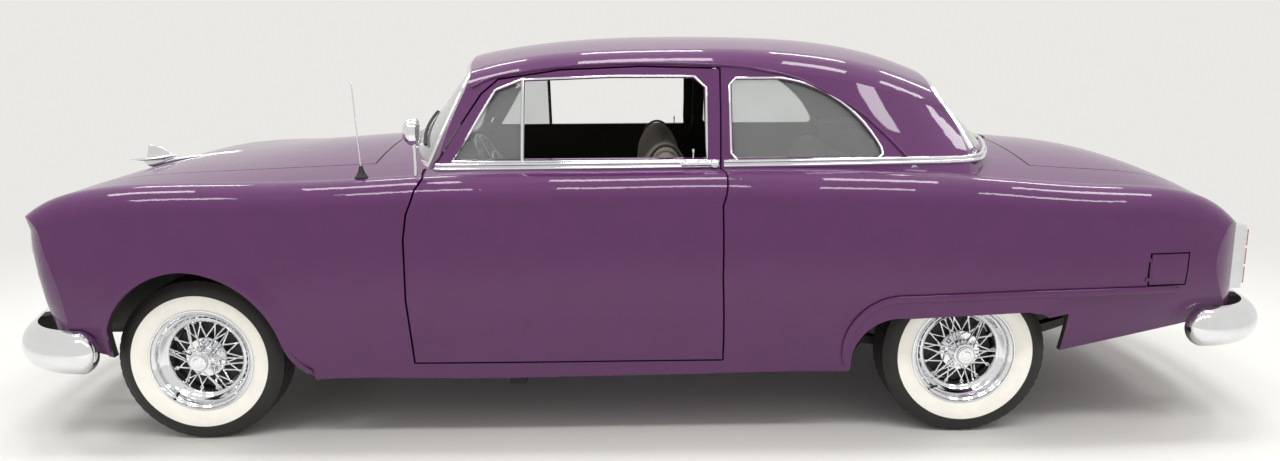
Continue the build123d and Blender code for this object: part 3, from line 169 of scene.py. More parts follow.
red_glass = material("red_lens", (0.38, 0.012, 0.016), 0.14, 0.0, 0.8, 30.0, 0.1, 0.1, 240.0)

NODE_LOOKS = {
    paint: (
        "roof_panel door_left door_right floor_and_sills cowl front_fender_left front_fender_right "
        "quarter_panel_left quarter_panel_right rear_floor hood trunk_lid fuel_door"
    ),
    chrome: (
        "grille front_bumper rear_bumper wheel_front_left wheel_front_right wheel_rear_left "
        "wheel_rear_right hood_ornament door_mirror headlamps tail_lamps antenna"
    ),
    window_glass: "body_glass vent_window_left vent_window_right",
    chassis_black: (
        "chassis_frame rear_axle_and_springs front_suspension knuckle_left knuckle_right fuel_tank"
    ),
    dull_metal: "exhaust",
    engine_paint: "engine_and_shaft",
    rubber: "tyre_front_left tyre_front_right tyre_rear_left tyre_rear_right",
    seat_cloth: "front_seat rear_seat",
    dash_paint: "dashboard",
    wheel_plastic: "steering_wheel",
}
for look, names in NODE_LOOKS.items():
    for name in names.split():
        mesh = NODES[name].data
        mesh.materials.clear()
        mesh.materials.append(look)


# Helpers that make pieces
def net(count, size, round_rows=False, round_columns=False):
    """Faces of count rows of size points each, closed round where asked."""
    faces = []
    for row in range(count if round_rows else count - 1):
        first, second = row * size, (row + 1) % count * size
        for k in range(size if round_columns else size - 1):
            n = (k + 1) % size
            faces.append((first + k, first + n, second + n, second + k))
    return faces


def ends(count, size):
    """The two faces that close the first and the last row."""
    return [tuple(range(size)), tuple(range((count - 1) * size, count * size))]


def finish_mesh(name, verts, faces, look, body, sharp=40.0):
    mesh = bpy.data.meshes.new(name)
    mesh.from_pydata([tuple(v) for v in verts], [], faces)
    shape = bmesh.new()
    shape.from_mesh(mesh)
    bmesh.ops.remove_doubles(shape, verts=shape.verts, dist=0.00005)
    bmesh.ops.recalc_face_normals(shape, faces=shape.faces)
    shape.to_mesh(mesh)
    shape.free()
    mesh.polygons.foreach_set("use_smooth", [True] * len(mesh.polygons))
    mesh.set_sharp_from_angle(angle=math.radians(sharp))
    mesh.materials.append(look)
    piece = bpy.data.objects.new(name, mesh)
    scene.collection.objects.link(piece)
    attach(piece, body)
    return piece


def sweep(name, places, outs, section, look, body, closed=False):
    """A trim of one section (across, out) carried along places; outs point off what it lies on."""
    count, size = len(places), len(section)
    outs = [outs] * count if isinstance(outs, Vector) else outs
    verts = []
    for index, place in enumerate(places):
        ahead = places[(index + 1) % count] if closed else places[min(index + 1, count - 1)]
        behind = places[index - 1] if closed else places[max(index - 1, 0)]
        along = (ahead - behind).normalized()
        out = (outs[index] - along * outs[index].dot(along)).normalized()
        across = along.cross(out)
        verts += [place + across * a + out * o for a, o in section]
    faces = net(count, size, closed, True)
    if not closed:
        faces += ends(count, size)
    return finish_mesh(name, verts, faces, look, body)


def lathe(name, profile, centre, axis, look, body, steps=48, ring=False):
    """A profile of (along, radius) turned round an axis; a ring's profile closes on itself."""
    axis = Vector(axis).normalized()
    first = axis.orthogonal().normalized()
    second = axis.cross(first)
    verts = []
    for step in range(steps):
        turn = 2 * math.pi * step / steps
        spoke = first * math.cos(turn) + second * math.sin(turn)
        verts += [Vector(centre) + axis * along + spoke * radius for along, radius in profile]
    return finish_mesh(name, verts, net(steps, len(profile), True, ring), look, body)


def round_section(radius, sides=10, flat=1.0):
    turns = [2 * math.pi * k / sides for k in range(sides)]
    return [(radius * math.cos(t), radius * flat * math.sin(t)) for t in turns]


def arch_section(width, rise, sunk=0.002, steps=8):
    """A low arch standing on its base, which sinks a little into what carries it."""
    arch = [math.pi * k / steps for k in range(steps + 1)]
    top = [(-width / 2 * math.cos(t), rise * math.sin(t)) for t in arch]
    return [(-width / 2, -sunk)] + top + [(width / 2, -sunk)]


def through(points, per=6, closed=False):
    """Points along a smooth line through the given ones."""
    spots = [Vector(p) for p in points]
    count = len(spots)
    line = []
    for index in range(count if closed else count - 1):
        b, c = spots[index], spots[(index + 1) % count]
        a = spots[index - 1] if closed or index else b + (b - c)
        d = spots[(index + 2) % count] if closed or index + 2 < count else c + (c - b)
        for step in range(per):
            t = step / per
            bend = (2 * a - 5 * b + 4 * c - d) * t * t + (3 * b - a - 3 * c + d) * t * t * t
            line.append(0.5 * (2 * b + (c - a) * t + bend))
    return line if closed else line + [spots[-1]]


def arc(a, b, c, count):
    """Points on the circle from a through b to c, in two dimensions."""
    (ax, ay), (bx, by), (cx, cy) = a, b, c
    d = 2 * (ax * (by - cy) + bx * (cy - ay) + cx * (ay - by))
    sa, sb, sc = ax * ax + ay * ay, bx * bx + by * by, cx * cx + cy * cy
    ux = (sa * (by - cy) + sb * (cy - ay) + sc * (ay - by)) / d
    uy = (sa * (cx - bx) + sb * (ax - cx) + sc * (bx - ax)) / d
    radius = math.hypot(ax - ux, ay - uy)
    start = math.atan2(ay - uy, ax - ux)
    middle = math.atan2(by - uy, bx - ux)
    end = math.atan2(cy - uy, cx - ux)
    whole = (end - start) % (2 * math.pi)
    if (middle - start) % (2 * math.pi) > whole:
        whole -= 2 * math.pi
    turns = [start + whole * k / count for k in range(count + 1)]
    return [(ux + radius * math.cos(t), uy + radius * math.sin(t)) for t in turns]


def surface(*names):
    verts, faces = [], []
    for name in names:
        mesh = NODES[name].data
        start = len(verts)
        verts += [v.co.copy() for v in mesh.vertices]
        faces += [[start + i for i in p.vertices] for p in mesh.polygons]
    return BVHTree.FromPolygons(verts, faces)


def seat_on(tree, origin, direction, spare):
    """The place and outward normal where a ray meets a surface, or the nearest to a spare point."""
    direction = Vector(direction)
    hit, normal, _, _ = tree.ray_cast(Vector(origin), direction)
    if hit is None:
        hit, normal, _, _ = tree.find_nearest(Vector(spare))
    return hit, normal if normal.dot(direction) < 0 else -normal


def side_spot(tree, side, x, z, y=0.76):
    """The place and normal on the car's side at (x, z), or the nearest to half width y."""
    return seat_on(tree, (x, side * 1.2, z), (0, -side, 0), (x, side * y, z))


def side_line(tree, side, points):
    """Places and normals on the car's side for points of (x, z)."""
    return [list(part) for part in zip(*[side_spot(tree, side, x, z) for x, z in points])]


def grown(points, amount):
    """A closed outline of (a, b) moved outward by amount from its middle line."""
    area = sum(a[0] * b[1] - b[0] * a[1] for a, b in zip(points, points[1:] + points[:1]))
    turn = 1 if area > 0 else -1
    moved = []
    for index, point in enumerate(points):
        ahead, behind = points[(index + 1) % len(points)], points[index - 1]
        run = Vector((ahead[0] - behind[0], ahead[1] - behind[1])).normalized()
        moved.append((point[0] + turn * run.y * amount, point[1] - turn * run.x * amount))
    return moved


def flat_points(points, per):
    """Points of (a, b) along the straight runs of a closed outline, per of them on each."""
    spots = [Vector(p) for p in points]
    pairs = zip(spots, spots[1:] + spots[:1])
    return [tuple(a.lerp(b, step / per)) for a, b in pairs for step in range(per)]


SIDES = ((-1, "left"), (1, "right"))
house = {name: surface(f"door_{name}") for side, name in SIDES}
flank = {name: surface("roof_panel", f"quarter_panel_{name}") for side, name in SIDES}
roof_skin = surface("roof_panel")
front_skin = surface("roof_panel", "cowl", "front_fender_left", "front_fender_right")
deck_skin = surface("rear_floor", "quarter_panel_left", "quarter_panel_right")

# Belt mouldings with two ribs
BELT_HALF = 0.018
BELT_RIBS = [
    (-BELT_HALF + 2 * BELT_HALF * k / 16, 0.003 + 0.007 * abs(math.sin(2 * math.pi * k / 16)))
    for k in range(17)
]
BELT_SECTION = [(-BELT_HALF, -0.004)] + BELT_RIBS + [(BELT_HALF, -0.004)]


def belt_level(x):
    return 1.110 + 0.0070 * (x + 0.85)


BELT_REAR = [(1.375, 0.745), (1.440, 0.600), (1.505, 0.430), (1.555, 0.230), (1.575, 0.0)]
belt_rear_places, belt_rear_outs = [], []
for side, name in SIDES:
    door_points = [(-0.806 + 1.122 * k / 40, belt_level(-0.806 + 1.122 * k / 40)) for k in range(41)]
    places, outs = side_line(house[name], side, door_points)
    sweep(f"belt_moulding_door_{name}", places, outs, BELT_SECTION, chrome, f"door_{name}")
    rear_points = [(0.334 + 0.960 * k / 34, belt_level(0.334 + 0.960 * k / 34)) for k in range(35)]
    places, outs = side_line(flank[name], side, rear_points)
    around = [Vector((x, side * y, 0)) for x, y in BELT_REAR]
    for spot in around:
        top, _ = seat_on(deck_skin, (spot.x + 0.01, spot.y, 1.6), (0, 0, -1), (spot.x, spot.y, 1.14))
        spot.z = max(top.z + 0.010, 1.128)
    belt_rear_places.append(places + around)
    belt_rear_outs.append(outs + [Vector((0.9, side * 0.75 * abs(y), 0.45)) for x, y in BELT_REAR])
left_line, right_line = [through(places, 2) for places in belt_rear_places]
left_outs, right_outs = [through(outs, 2) for outs in belt_rear_outs]
places, outs = left_line + right_line[-2::-1], left_outs + right_outs[-2::-1]
sweep("belt_moulding_rear", places, outs, BELT_SECTION, chrome, "body")

# Window trims, vent bars and drip rails
DOOR_WINDOW = [
    (DOOR_FRONT + 0.172, 1.140), (DOOR_FRONT + 0.340, 1.402), (DOOR_FRONT + 0.440, 1.440),
    (DOOR_FRONT + 0.800, 1.452), (DOOR_REAR - 0.100, 1.450), (DOOR_REAR - 0.058, 1.412),
    (DOOR_REAR - 0.054, 1.140),
]
QUARTER_FRONT = DOOR_REAR + 0.052
QUARTER_REAR = DOOR_REAR + 0.655
QUARTER_WINDOW = [(QUARTER_FRONT, 1.160), (QUARTER_FRONT, 1.424), (QUARTER_FRONT + 0.018, 1.442)] + arc(
    (QUARTER_FRONT + 0.190, 1.442), (QUARTER_FRONT + 0.430, 1.352), (QUARTER_REAR, 1.140), 14
)
QUARTER_WINDOW[-1] = (QUARTER_REAR - 0.012, 1.152)
QUARTER_WINDOW += [(QUARTER_REAR - 0.030, 1.140), (QUARTER_FRONT + 0.018, 1.140)]
VENT_BAR = DOOR_FRONT + 0.446
DRIP_RAIL = [
    (-0.668, 1.418), (-0.567, 1.459), (-0.313, 1.496), (0.008, 1.509), (0.329, 1.499), (0.490, 1.481),
    (0.653, 1.440), (0.859, 1.333), (0.985, 1.225), (1.065, 1.140),
]
for side, name in SIDES:
    trim = arch_section(0.010, 0.005)
    places, outs = side_line(house[name], side, flat_points(grown(DOOR_WINDOW, 0.008), 6))
    sweep(f"door_window_trim_{name}", places, outs, trim, chrome, f"door_{name}", closed=True)
    places, outs = side_line(flank[name], side, flat_points(grown(QUARTER_WINDOW, 0.008), 3))
    sweep(f"quarter_window_trim_{name}", places, outs, trim, chrome, "body", closed=True)
    low, _ = side_spot(house[name], side, VENT_BAR, 1.130, 0.81)
    high, _ = side_spot(house[name], side, VENT_BAR, 1.452, 0.69)
    inward = Vector((0, -side * 0.008, 0))
    bar = [(low + inward).lerp(high + inward, k / 10) for k in range(11)]
    sweep(
        f"vent_bar_{name}", bar, Vector((0, side, 0.3)), arch_section(0.016, 0.011, 0.006),
        chrome, f"door_{name}",
    )
    rail = [(p.x, p.y) for p in through([(x, z, 0) for x, z in DRIP_RAIL], 5)]
    places, outs = side_line(roof_skin, side, rail)
    sweep(
        f"drip_rail_{name}", places, outs, arch_section(0.012, 0.009), plain_paint, "body",
    )

WINDSCREEN = [(-0.742, 1.120), (0.742, 1.120)] + arc((0.612, 1.452), (0.0, 1.500), (-0.612, 1.452), 16)
REAR_WINDOW = [(-0.705, 1.150), (0.705, 1.150)] + arc((0.505, 1.385), (0.0, 1.420), (-0.505, 1.385), 16)
for name, outline, start, run in (
    ("windscreen_trim", WINDSCREEN, -2.4, 1.0),
    ("rear_window_trim", REAR_WINDOW, 2.4, -1.0),
):
    found = []
    for y, z in flat_points(grown(outline, 0.010), 3):
        spare = (0.0 if run > 0 else 1.2, y, z)
        found.append(seat_on(front_skin if run > 0 else roof_skin, (start, y, z), (run, 0, 0), spare))
    places, outs = zip(*found)
    sweep(name, places, outs, arch_section(0.024, 0.010), chrome, "body", closed=True)

# Rubber seals on the body, behind the upper edges of the doors
# x from the door's front edge, z, y
SEAL = [(0.196, 1.271, 0.708), (0.271, 1.390, 0.650), (0.340, 1.446, 0.632), (0.590, 1.482, 0.630)]
SEAL += [(0.920, 1.494, 0.629), (1.212, 1.486, 0.627)]
SEAL_SECTION = [(-0.017, -0.0015), (0.017, -0.0015), (0.017, 0.0015), (-0.017, 0.0015)]
for side, name in SIDES:
    line = through([(DOOR_FRONT + x, side * y, z) for x, z, y in SEAL], 6)
    out = Vector((0, side, 0))
    sweep(f"door_seal_{name}", line, out, SEAL_SECTION, black_rubber, "body")

# Wipers on the windscreen
glass_skin = surface("body_glass")
for side, name in SIDES:
    foot, _ = seat_on(
        front_skin, (FA + 0.80, side * 0.30, 1.6), (0, 0, -1), (FA + 0.80, side * 0.30, 1.15),
    )
    tip, tip_out = seat_on(glass_skin, (-2.4, side * 0.12, 1.27), (1, 0, 0), (-0.9, side * 0.12, 1.27))
    heel, _ = seat_on(glass_skin, (-2.4, side * 0.56, 1.165), (1, 0, 0), (-0.9, side * 0.56, 1.165))
    middle = (tip + heel) / 2 + tip_out * 0.020
    arm = through([foot + Vector((0, 0, 0.012)), (foot + middle) / 2 + tip_out * 0.020, middle], 8)
    sweep(f"wiper_arm_{name}", arm, tip_out, round_section(0.005, 8, 0.6), chrome, "body")
    blade = [heel.lerp(tip, k / 12) + tip_out * 0.008 for k in range(13)]
    for index, spot in enumerate(blade):
        on_glass, _ = seat_on(glass_skin, (-2.4, spot.y, spot.z), (1, 0, 0), spot)
        blade[index] = on_glass + tip_out * 0.007
    sweep(
        f"wiper_blade_{name}", blade, tip_out, arch_section(0.010, 0.010, 0.004), black_rubber,
        "body",
    )
    lathe(
        f"wiper_pivot_{name}", [(-0.004, 0.016), (0.010, 0.016), (0.018, 0.010), (0.020, 0.0)], foot,
        (0, 0, 1), chrome, "body", steps=20,
    )

# Door handles with a button
HANDLE_LIFT = [0.004, 0.020, 0.027, 0.028, 0.026, 0.018, 0.006]
BUTTON_PROFILE = [
    (-0.006, 0.019), (0.012, 0.019), (0.016, 0.016), (0.016, 0.013), (0.024, 0.012), (0.027, 0.008),
    (0.028, 0),
]
for side, name in SIDES:
    front, _ = side_spot(house[name], side, 0.165, 1.117, 0.83)
    rear, rear_out = side_spot(house[name], side, 0.285, 1.118, 0.83)
    grip = through([front.lerp(rear, k / 6) + rear_out * HANDLE_LIFT[k] for k in range(7)], 4)
    sweep(f"door_handle_{name}", grip, rear_out, round_section(0.011, 12, 0.55), chrome, f"door_{name}")
    middle = rear + Vector((0.012, 0, 0))
    lathe(f"door_button_{name}", BUTTON_PROFILE, middle, rear_out, chrome, f"door_{name}", steps=28)

# Fender noses: painted skins that carry the front edge forward below the lamp brow
# height, reach forward
NOSE_SHIFT = [(0.46, 0.058), (0.59, 0.054), (0.70, 0.042), (0.80, 0.023), (0.88, 0.0)]
NOSE_REAR = FA - 0.38
NOSE_BLEND = 0.16


def nose_shift(x, z):
    reach = min(1.0, max(0.0, (NOSE_REAR - x) / NOSE_BLEND))
    ease = reach * reach * (3 - 2 * reach)
    for (low, low_reach), (high, high_reach) in zip(NOSE_SHIFT, NOSE_SHIFT[1:]):
        if z < high:
            share = max(0.0, (z - low) / (high - low))
            return ease * (low_reach + (high_reach - low_reach) * share)
    return 0.0


for side, name in SIDES:
    shape = bmesh.new()
    shape.from_mesh(NODES[f"front_fender_{name}"].data)
    cuts = [((NOSE_REAR - 0.02 * k, 0, 0), (1, 0, 0)) for k in range(16)]
    cuts += [((0, 0, 0.46 + 0.03 * k), (0, 0, 1)) for k in range(15)]
    for index, (spot, normal) in enumerate(cuts):
        whole = shape.verts[:] + shape.edges[:] + shape.faces[:]
        bmesh.ops.bisect_plane(
            shape, geom=whole, plane_co=spot, plane_no=normal, clear_outer=index == 0,
        )
    still = [f for f in shape.faces if max(nose_shift(v.co.x, v.co.z) for v in f.verts) < 0.001]
    bmesh.ops.delete(shape, geom=still, context="FACES")
    shape.normal_update()
    verts = []
    for vertex in shape.verts:
        reach = nose_shift(vertex.co.x, vertex.co.z)
        verts.append(vertex.co + vertex.normal * min(0.0008, 0.1 * reach) - Vector((reach, 0, 0)))
    shape.verts.index_update()
    faces = [tuple(v.index for v in f.verts) for f in shape.faces]
    shape.free()
    finish_mesh(f"fender_nose_{name}", verts, faces, plain_paint, "body", 32.0)

# Flares that swell toward the front wheel openings, and beads on the rear ledges
FRONT_OPENING = (
    [(FA - 0.3185, 0.400), (FA - 0.320, 0.450)]
    + arc((FA - 0.322, 0.492), (FA - 0.204, 0.657), (FA - 0.004, 0.731), 16)
    + arc((FA - 0.004, 0.731), (FA + 0.203, 0.665), (FA + 0.360, 0.440), 20)[1:]
    + arc((FA + 0.360, 0.440), (FA + 0.404, 0.345), (FA + 0.475, 0.286), 8)[1:-2]
)
FLARE_STEPS = (0.001, 0.008, 0.016, 0.023, 0.026, 0.034, 0.045, 0.058, 0.072, 0.088, 0.106, 0.124)
LIP_WIDTH = 0.0212
LEDGE = arc((RA - 0.496, 0.330), (RA - 0.434, 0.548), (RA - 0.275, 0.602), 16) + [
    (RA - 0.275 + 0.510 * k / 12, 0.602 + 0.015 * k / 12) for k in range(1, 13)
]
LEDGE += [(RA + 0.235 + 0.560 * k / 14, 0.617 + 0.007 * k / 14) for k in range(1, 15)]
for side, name in SIDES:
    fender = surface(f"front_fender_{name}")
    verts = []
    count = len(FRONT_OPENING)
    for index, (x, z) in enumerate(FRONT_OPENING):
        ahead, behind = FRONT_OPENING[min(index + 1, count - 1)], FRONT_OPENING[max(index - 1, 0)]
        run = Vector((ahead[0] - behind[0], ahead[1] - behind[1])).normalized()
        fade = min(1.0, index / 6, (count - 1 - index) / 5)
        row = []
        for away in FLARE_STEPS:
            spot = (x - run.y * away, z + run.x * away)
            start = Vector((spot[0], side * 1.2, spot[1]))
            hit, _, _, _ = fender.ray_cast(start, Vector((0, -side, 0)))
            level = abs(hit.y) if hit else abs(row[-1].y) if row else 0.93
            lift = 0.0010
            if away > LIP_WIDTH:
                share = min(1.0, (away - LIP_WIDTH) / (FLARE_STEPS[-2] - LIP_WIDTH))
                lift = 0.0090 * fade * (1 - share) ** 2 - 0.0004 * share
            row.append(Vector((spot[0], side * (level + lift), spot[1])))
        verts += [row[0] - Vector((0, side * 0.014, 0))] + row
    faces = net(count, len(FLARE_STEPS) + 1)
    finish_mesh(f"arch_flare_{name}", verts, faces, plain_paint, "body", 50.0)
    places, outs = side_line(surface(f"quarter_panel_{name}"), side, LEDGE)
    sweep(
        f"ledge_bead_{name}", places, outs, arch_section(0.030, 0.006), plain_paint, "body",
    )

# Splash panels inside the front wheel openings, with pressed beads
for side, name in SIDES:
    verts = []
    columns, rows, shelf = 62, 10, 8
    for column_index in range(columns + 1):
        x = -0.600 + 1.240 * column_index / columns
        low = 0.350 + 0.250 * max(0.0, 1 - (abs(x) / 0.37) ** 4)
        high = 0.850 - 0.10 * max(0.0, (-0.30 - x) / 0.30)
        for row in range(rows + 1):
            wave = 0.006 * max(0.0, math.cos(2 * math.pi * column_index / 6))
            bead = wave if 1 < row < rows - 1 else 0.0
            verts.append((FA + x, side * (0.462 + bead), low + (high - low) * row / rows))
        over = 0.410 * min(1.0, max(0.0, (x + 0.58) / 0.14))
        for row in range(1, shelf + 1):
            share = row / shelf
            rise = 0.030 * math.sin(math.pi * share / 2)
            verts.append((FA + x, side * (0.462 + over * share), high + rise))
    faces = net(columns + 1, rows + shelf + 1)
    splash = finish_mesh(
        f"splash_panel_{name}", verts, faces, chassis_black, "body", 30.0,
    )
    splash.modifiers.new("thick", "SOLIDIFY").thickness = 0.002

# Headlamps: a dark bucket, a stepped rim, a reflector and a fluted lens; red tail lenses
LAMP_X, LAMP_Y, LAMP_Z = FA - 0.604, 0.714, 0.800
LAMP_TURN = math.radians(14)
LENS_RADIUS = 0.086
# out, radius
LAMP_BUCKET = [
    (0.044, 0.1045), (0.046, 0.1075), (0.020, 0.1070), (0.006, 0.100), (-0.006, 0.080), (-0.010, 0.0),
]
LAMP_RIM = [
    (0.036, 0.104), (0.050, 0.1095), (0.057, 0.107), (0.060, 0.101), (0.058, 0.095), (0.052, 0.091),
    (0.050, 0.085), (0.040, 0.085),
]
LAMP_BOWL = [
    (0.046, 0.087), (0.030, 0.078), (0.014, 0.055), (0.008, 0.030), (0.007, 0.012), (0.022, 0.010),
    (0.026, 0.006), (0.027, 0.0),
]
for side, name in SIDES:
    middle = Vector((LAMP_X, side * LAMP_Y, LAMP_Z))
    ahead = Vector((-math.cos(LAMP_TURN), side * math.sin(LAMP_TURN), 0))
    beside = ahead.cross(Vector((0, 0, 1)))
    bucket = lathe(
        f"headlamp_bucket_{name}", LAMP_BUCKET, middle, ahead, chassis_black, "body", 72
    )
    rim = lathe(f"headlamp_rim_{name}", LAMP_RIM, middle, ahead, chrome, "body", steps=72, ring=True)
    mirror_bowl = lathe(f"headlamp_bowl_{name}", LAMP_BOWL, middle, ahead, chrome, "body")
    verts = []
    rows, columns = 14, 64
    for row in range(rows + 1):
        radius = LENS_RADIUS * row / rows
        for y, z in round_section(radius, columns):
            dome = 0.067 - 0.016 * (radius / LENS_RADIUS) ** 2
            flute = 0.0010 * math.cos(y * 2 * math.pi / 0.011)
            verts.append(middle + ahead * (dome + flute) + beside * y + Vector((0, 0, z)))
    faces = net(rows + 1, columns, False, True)
    lens = finish_mesh(f"headlamp_lens_{name}", verts, faces, lamp_glass, "body")
    lens.modifiers.new("thick", "SOLIDIFY").thickness = 0.003
    for piece in (bucket, rim, mirror_bowl, lens):
        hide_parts("headlamps")
TAIL_LOW, TAIL_HIGH = 0.590, 0.848
TAIL_SECTION = []
for k in range(17):
    turn = -0.85 + 1.7 * k / 16
    rib = 0.0268 + 0.0006 * math.cos(k * math.pi)
    TAIL_SECTION.append((rib * math.sin(turn), rib * math.cos(turn)))
TAIL_SECTION += [(0.016, 0.012), (-0.016, 0.012)]
for side, name in SIDES:
    pitch = (TAIL_HIGH - TAIL_LOW - 0.024) / 3
    for row in range(3):
        bottom = TAIL_LOW + 0.012 + pitch * row + 0.006
        top = bottom + pitch - 0.012
        line = [Vector((RA + 1.140, side * 0.772, bottom + (top - bottom) * k / 14)) for k in range(15)]
        lens_name, out = f"tail_lens_{name}_{row + 1}", Vector((1, 0, 0))
        sweep(lens_name, line, out, TAIL_SECTION, red_glass, "body")

# Tyres with tread, whitewalls, and the fittings of each wheel
WHEEL_PLACES = [
    ("front_left", FA, -1, TRACK_FRONT / 2), ("front_right", FA, 1, TRACK_FRONT / 2),
    ("rear_left", RA, -1, TRACK_REAR / 2), ("rear_right", RA, 1, TRACK_REAR / 2),
]
SIDEWALL = arc((0.070, 0.198), (0.1025, 0.258), (0.084, 0.321), 22)
GROOVES = (-0.039, -0.013, 0.013, 0.039)
TREAD_STEPS = 200
WHITE_INNER, WHITE_OUTER = 0.211, 0.2768
# count, out at the hub, radius at the hub, out at the rim, lean, thickness
SPOKE_LAYERS = [(12, 0.085, 0.040, 0.022, 0.20, 0.0032), (28, 0.030, 0.079, 0.006, 0.155, 0.0036)]
# radius, out
STEM = ((0.189, 0.052), (0.183, 0.072), (0.172, 0.092))
# out, radius
RIM_PROFILE = [
    (-0.074, 0.190), (-0.080, 0.206), (-0.071, 0.206), (-0.070, 0.198), (-0.040, 0.198),
    (-0.028, 0.158), (0.028, 0.158), (0.040, 0.198), (0.070, 0.198), (0.074, 0.2075), (0.083, 0.213),
    (0.089, 0.211), (0.088, 0.206), (0.080, 0.203), (0.077, 0.198), (0.079, 0.1955), (0.076, 0.191),
    (0.062, 0.186), (0.058, 0.183), (0.060, 0.180), (0.056, 0.176), (0.046, 0.168), (0.042, 0.163),
    (0.044, 0.159), (0.041, 0.153), (0.034, 0.148), (-0.034, 0.148), (-0.044, 0.190),
]
DRUM_PROFILE = [
    (-0.038, 0.019), (-0.038, 0.134), (-0.034, 0.138), (-0.010, 0.138), (-0.006, 0.134),
    (-0.005, 0.120), (-0.003, 0.116), (-0.003, 0.070), (-0.005, 0.062),
]
HUB_PROFILE = [
    (-0.006, 0.060), (0.016, 0.070), (0.023, 0.083), (0.032, 0.084), (0.038, 0.080), (0.036, 0.052),
    (0.044, 0.045), (0.092, 0.042), (0.096, 0.044), (0.102, 0.044), (0.105, 0.040), (0.105, 0.037),
    (0.115, 0.0355), (0.120, 0.032), (0.121, 0.020), (0.123, 0.018), (0.124, 0.0),
]
for name, x, side, half in WHEEL_PLACES:
    verts = []
    for step in range(TREAD_STEPS):
        turn = 2 * math.pi * step / TREAD_STEPS
        shift = 0.004 if step // 4 % 2 else -0.004
        cut = 0.0020 if step % 4 == 0 else 0.0
        wall = SIDEWALL + [(0.078, 0.331 - cut), (0.064, TYRE_RADIUS - cut)]
        tread = []
        for middle in reversed(GROOVES):
            spot = middle + shift
            tread += [
                (spot + 0.0045, TYRE_RADIUS), (spot + 0.0030, TYRE_RADIUS - 0.006),
                (spot - 0.0030, TYRE_RADIUS - 0.006), (spot - 0.0045, TYRE_RADIUS),
            ]
        profile = wall + tread + [(-a, r) for a, r in reversed(wall)]
        spoke = Vector((math.cos(turn), 0, math.sin(turn)))
        verts += [Vector((x, side * (half + a), AXLE_HEIGHT)) + spoke * r for a, r in profile]
    faces = net(TREAD_STEPS, len(profile), True, True)
    tyre = finish_mesh(f"tread_tyre_{name}", verts, faces, rubber, f"wheel_{name}", 35.0)
    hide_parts(f"tyre_{name}")
    centre, outward, body = (x, side * half, AXLE_HEIGHT), (0, side, 0), f"wheel_{name}"
    band = [(a + 0.0016, r) for a, r in arc((0.070, 0.198), (0.1025, 0.258), (0.084, 0.321), 60)]
    band = [(a, r) for a, r in band if WHITE_INNER < r < WHITE_OUTER]
    under = [(a - 0.004, r) for a, r in (band[-1], band[0])]
    lathe(f"whitewall_{name}", band + under, centre, outward, whitewall, body, 96, True)
    rim = lathe(f"rim_{name}", RIM_PROFILE, centre, outward, chrome, body, steps=96, ring=True)
    drum = lathe(
        f"brake_drum_{name}", DRUM_PROFILE, centre, outward, chassis_black, body, 64,
    )
    hub = lathe(f"hub_{name}", HUB_PROFILE, centre, outward, chrome, body, steps=56)
    verts, faces = [], []
    for count, y_hub, r_hub, y_rim, slant, thick in SPOKE_LAYERS:
        for step in range(count):
            lean = slant if step % 2 else -slant
            at_hub = 2 * math.pi * (step + 0.25) / count - lean
            at_rim = 2 * math.pi * (step + 0.25) / count + lean
            low = Vector((r_hub * math.cos(at_hub), side * y_hub, r_hub * math.sin(at_hub)))
            high = Vector((0.151 * math.cos(at_rim), side * y_rim, 0.151 * math.sin(at_rim)))
            along = (high - low).normalized()
            first = along.orthogonal().normalized()
            second = along.cross(first)
            start = len(verts)
            for share, grow in ((0.0, 1.1), (0.86, 1.0), (0.88, 1.3), (1.0, 1.3)):
                place = Vector(centre) + low.lerp(high, share)
                ring = round_section(thick * grow, 8)
                verts += [place + first * across + second * out for across, out in ring]
            faces += [[start + spot for spot in face] for face in net(4, 8, False, True)]
    spokes = finish_mesh(f"spokes_{name}", verts, faces, chrome, body)
    for piece in (rim, drum, hub, spokes):
        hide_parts(f"wheel_{name}")
    verts, faces = [], []
    for nut in range(5):
        place = 2 * math.pi * nut / 5 + 0.4
        start = len(verts)
        nut_x, nut_z = x + 0.0640 * math.cos(place), AXLE_HEIGHT + 0.0640 * math.sin(place)
        for out, radius in ((0.034, 0.0100), (0.054, 0.0100), (0.058, 0.0075)):
            y = side * (half + out)
            verts += [(nut_x + a, y, nut_z + b) for a, b in round_section(radius, 6)]
        faces += [[start + spot for spot in face] for face in net(3, 6, False, True)]
        faces.append(tuple(range(start + 12, start + 18)))
    finish_mesh(f"lug_nuts_{name}", verts, faces, chrome, body, 25.0)
    turn = math.radians(232)
    spoke = Vector((math.cos(turn), 0, math.sin(turn)))
    stem = [Vector(centre) + spoke * r + Vector((0, side * out, 0)) for r, out in STEM]
    sweep(
        f"valve_stem_{name}", through(stem, 5), spoke, round_section(0.0048, 10), black_rubber,
        body,
    )

# Hood ornament: a winged body on a foot with a tall fin, and a long spear behind it
hood_skin = surface("hood")
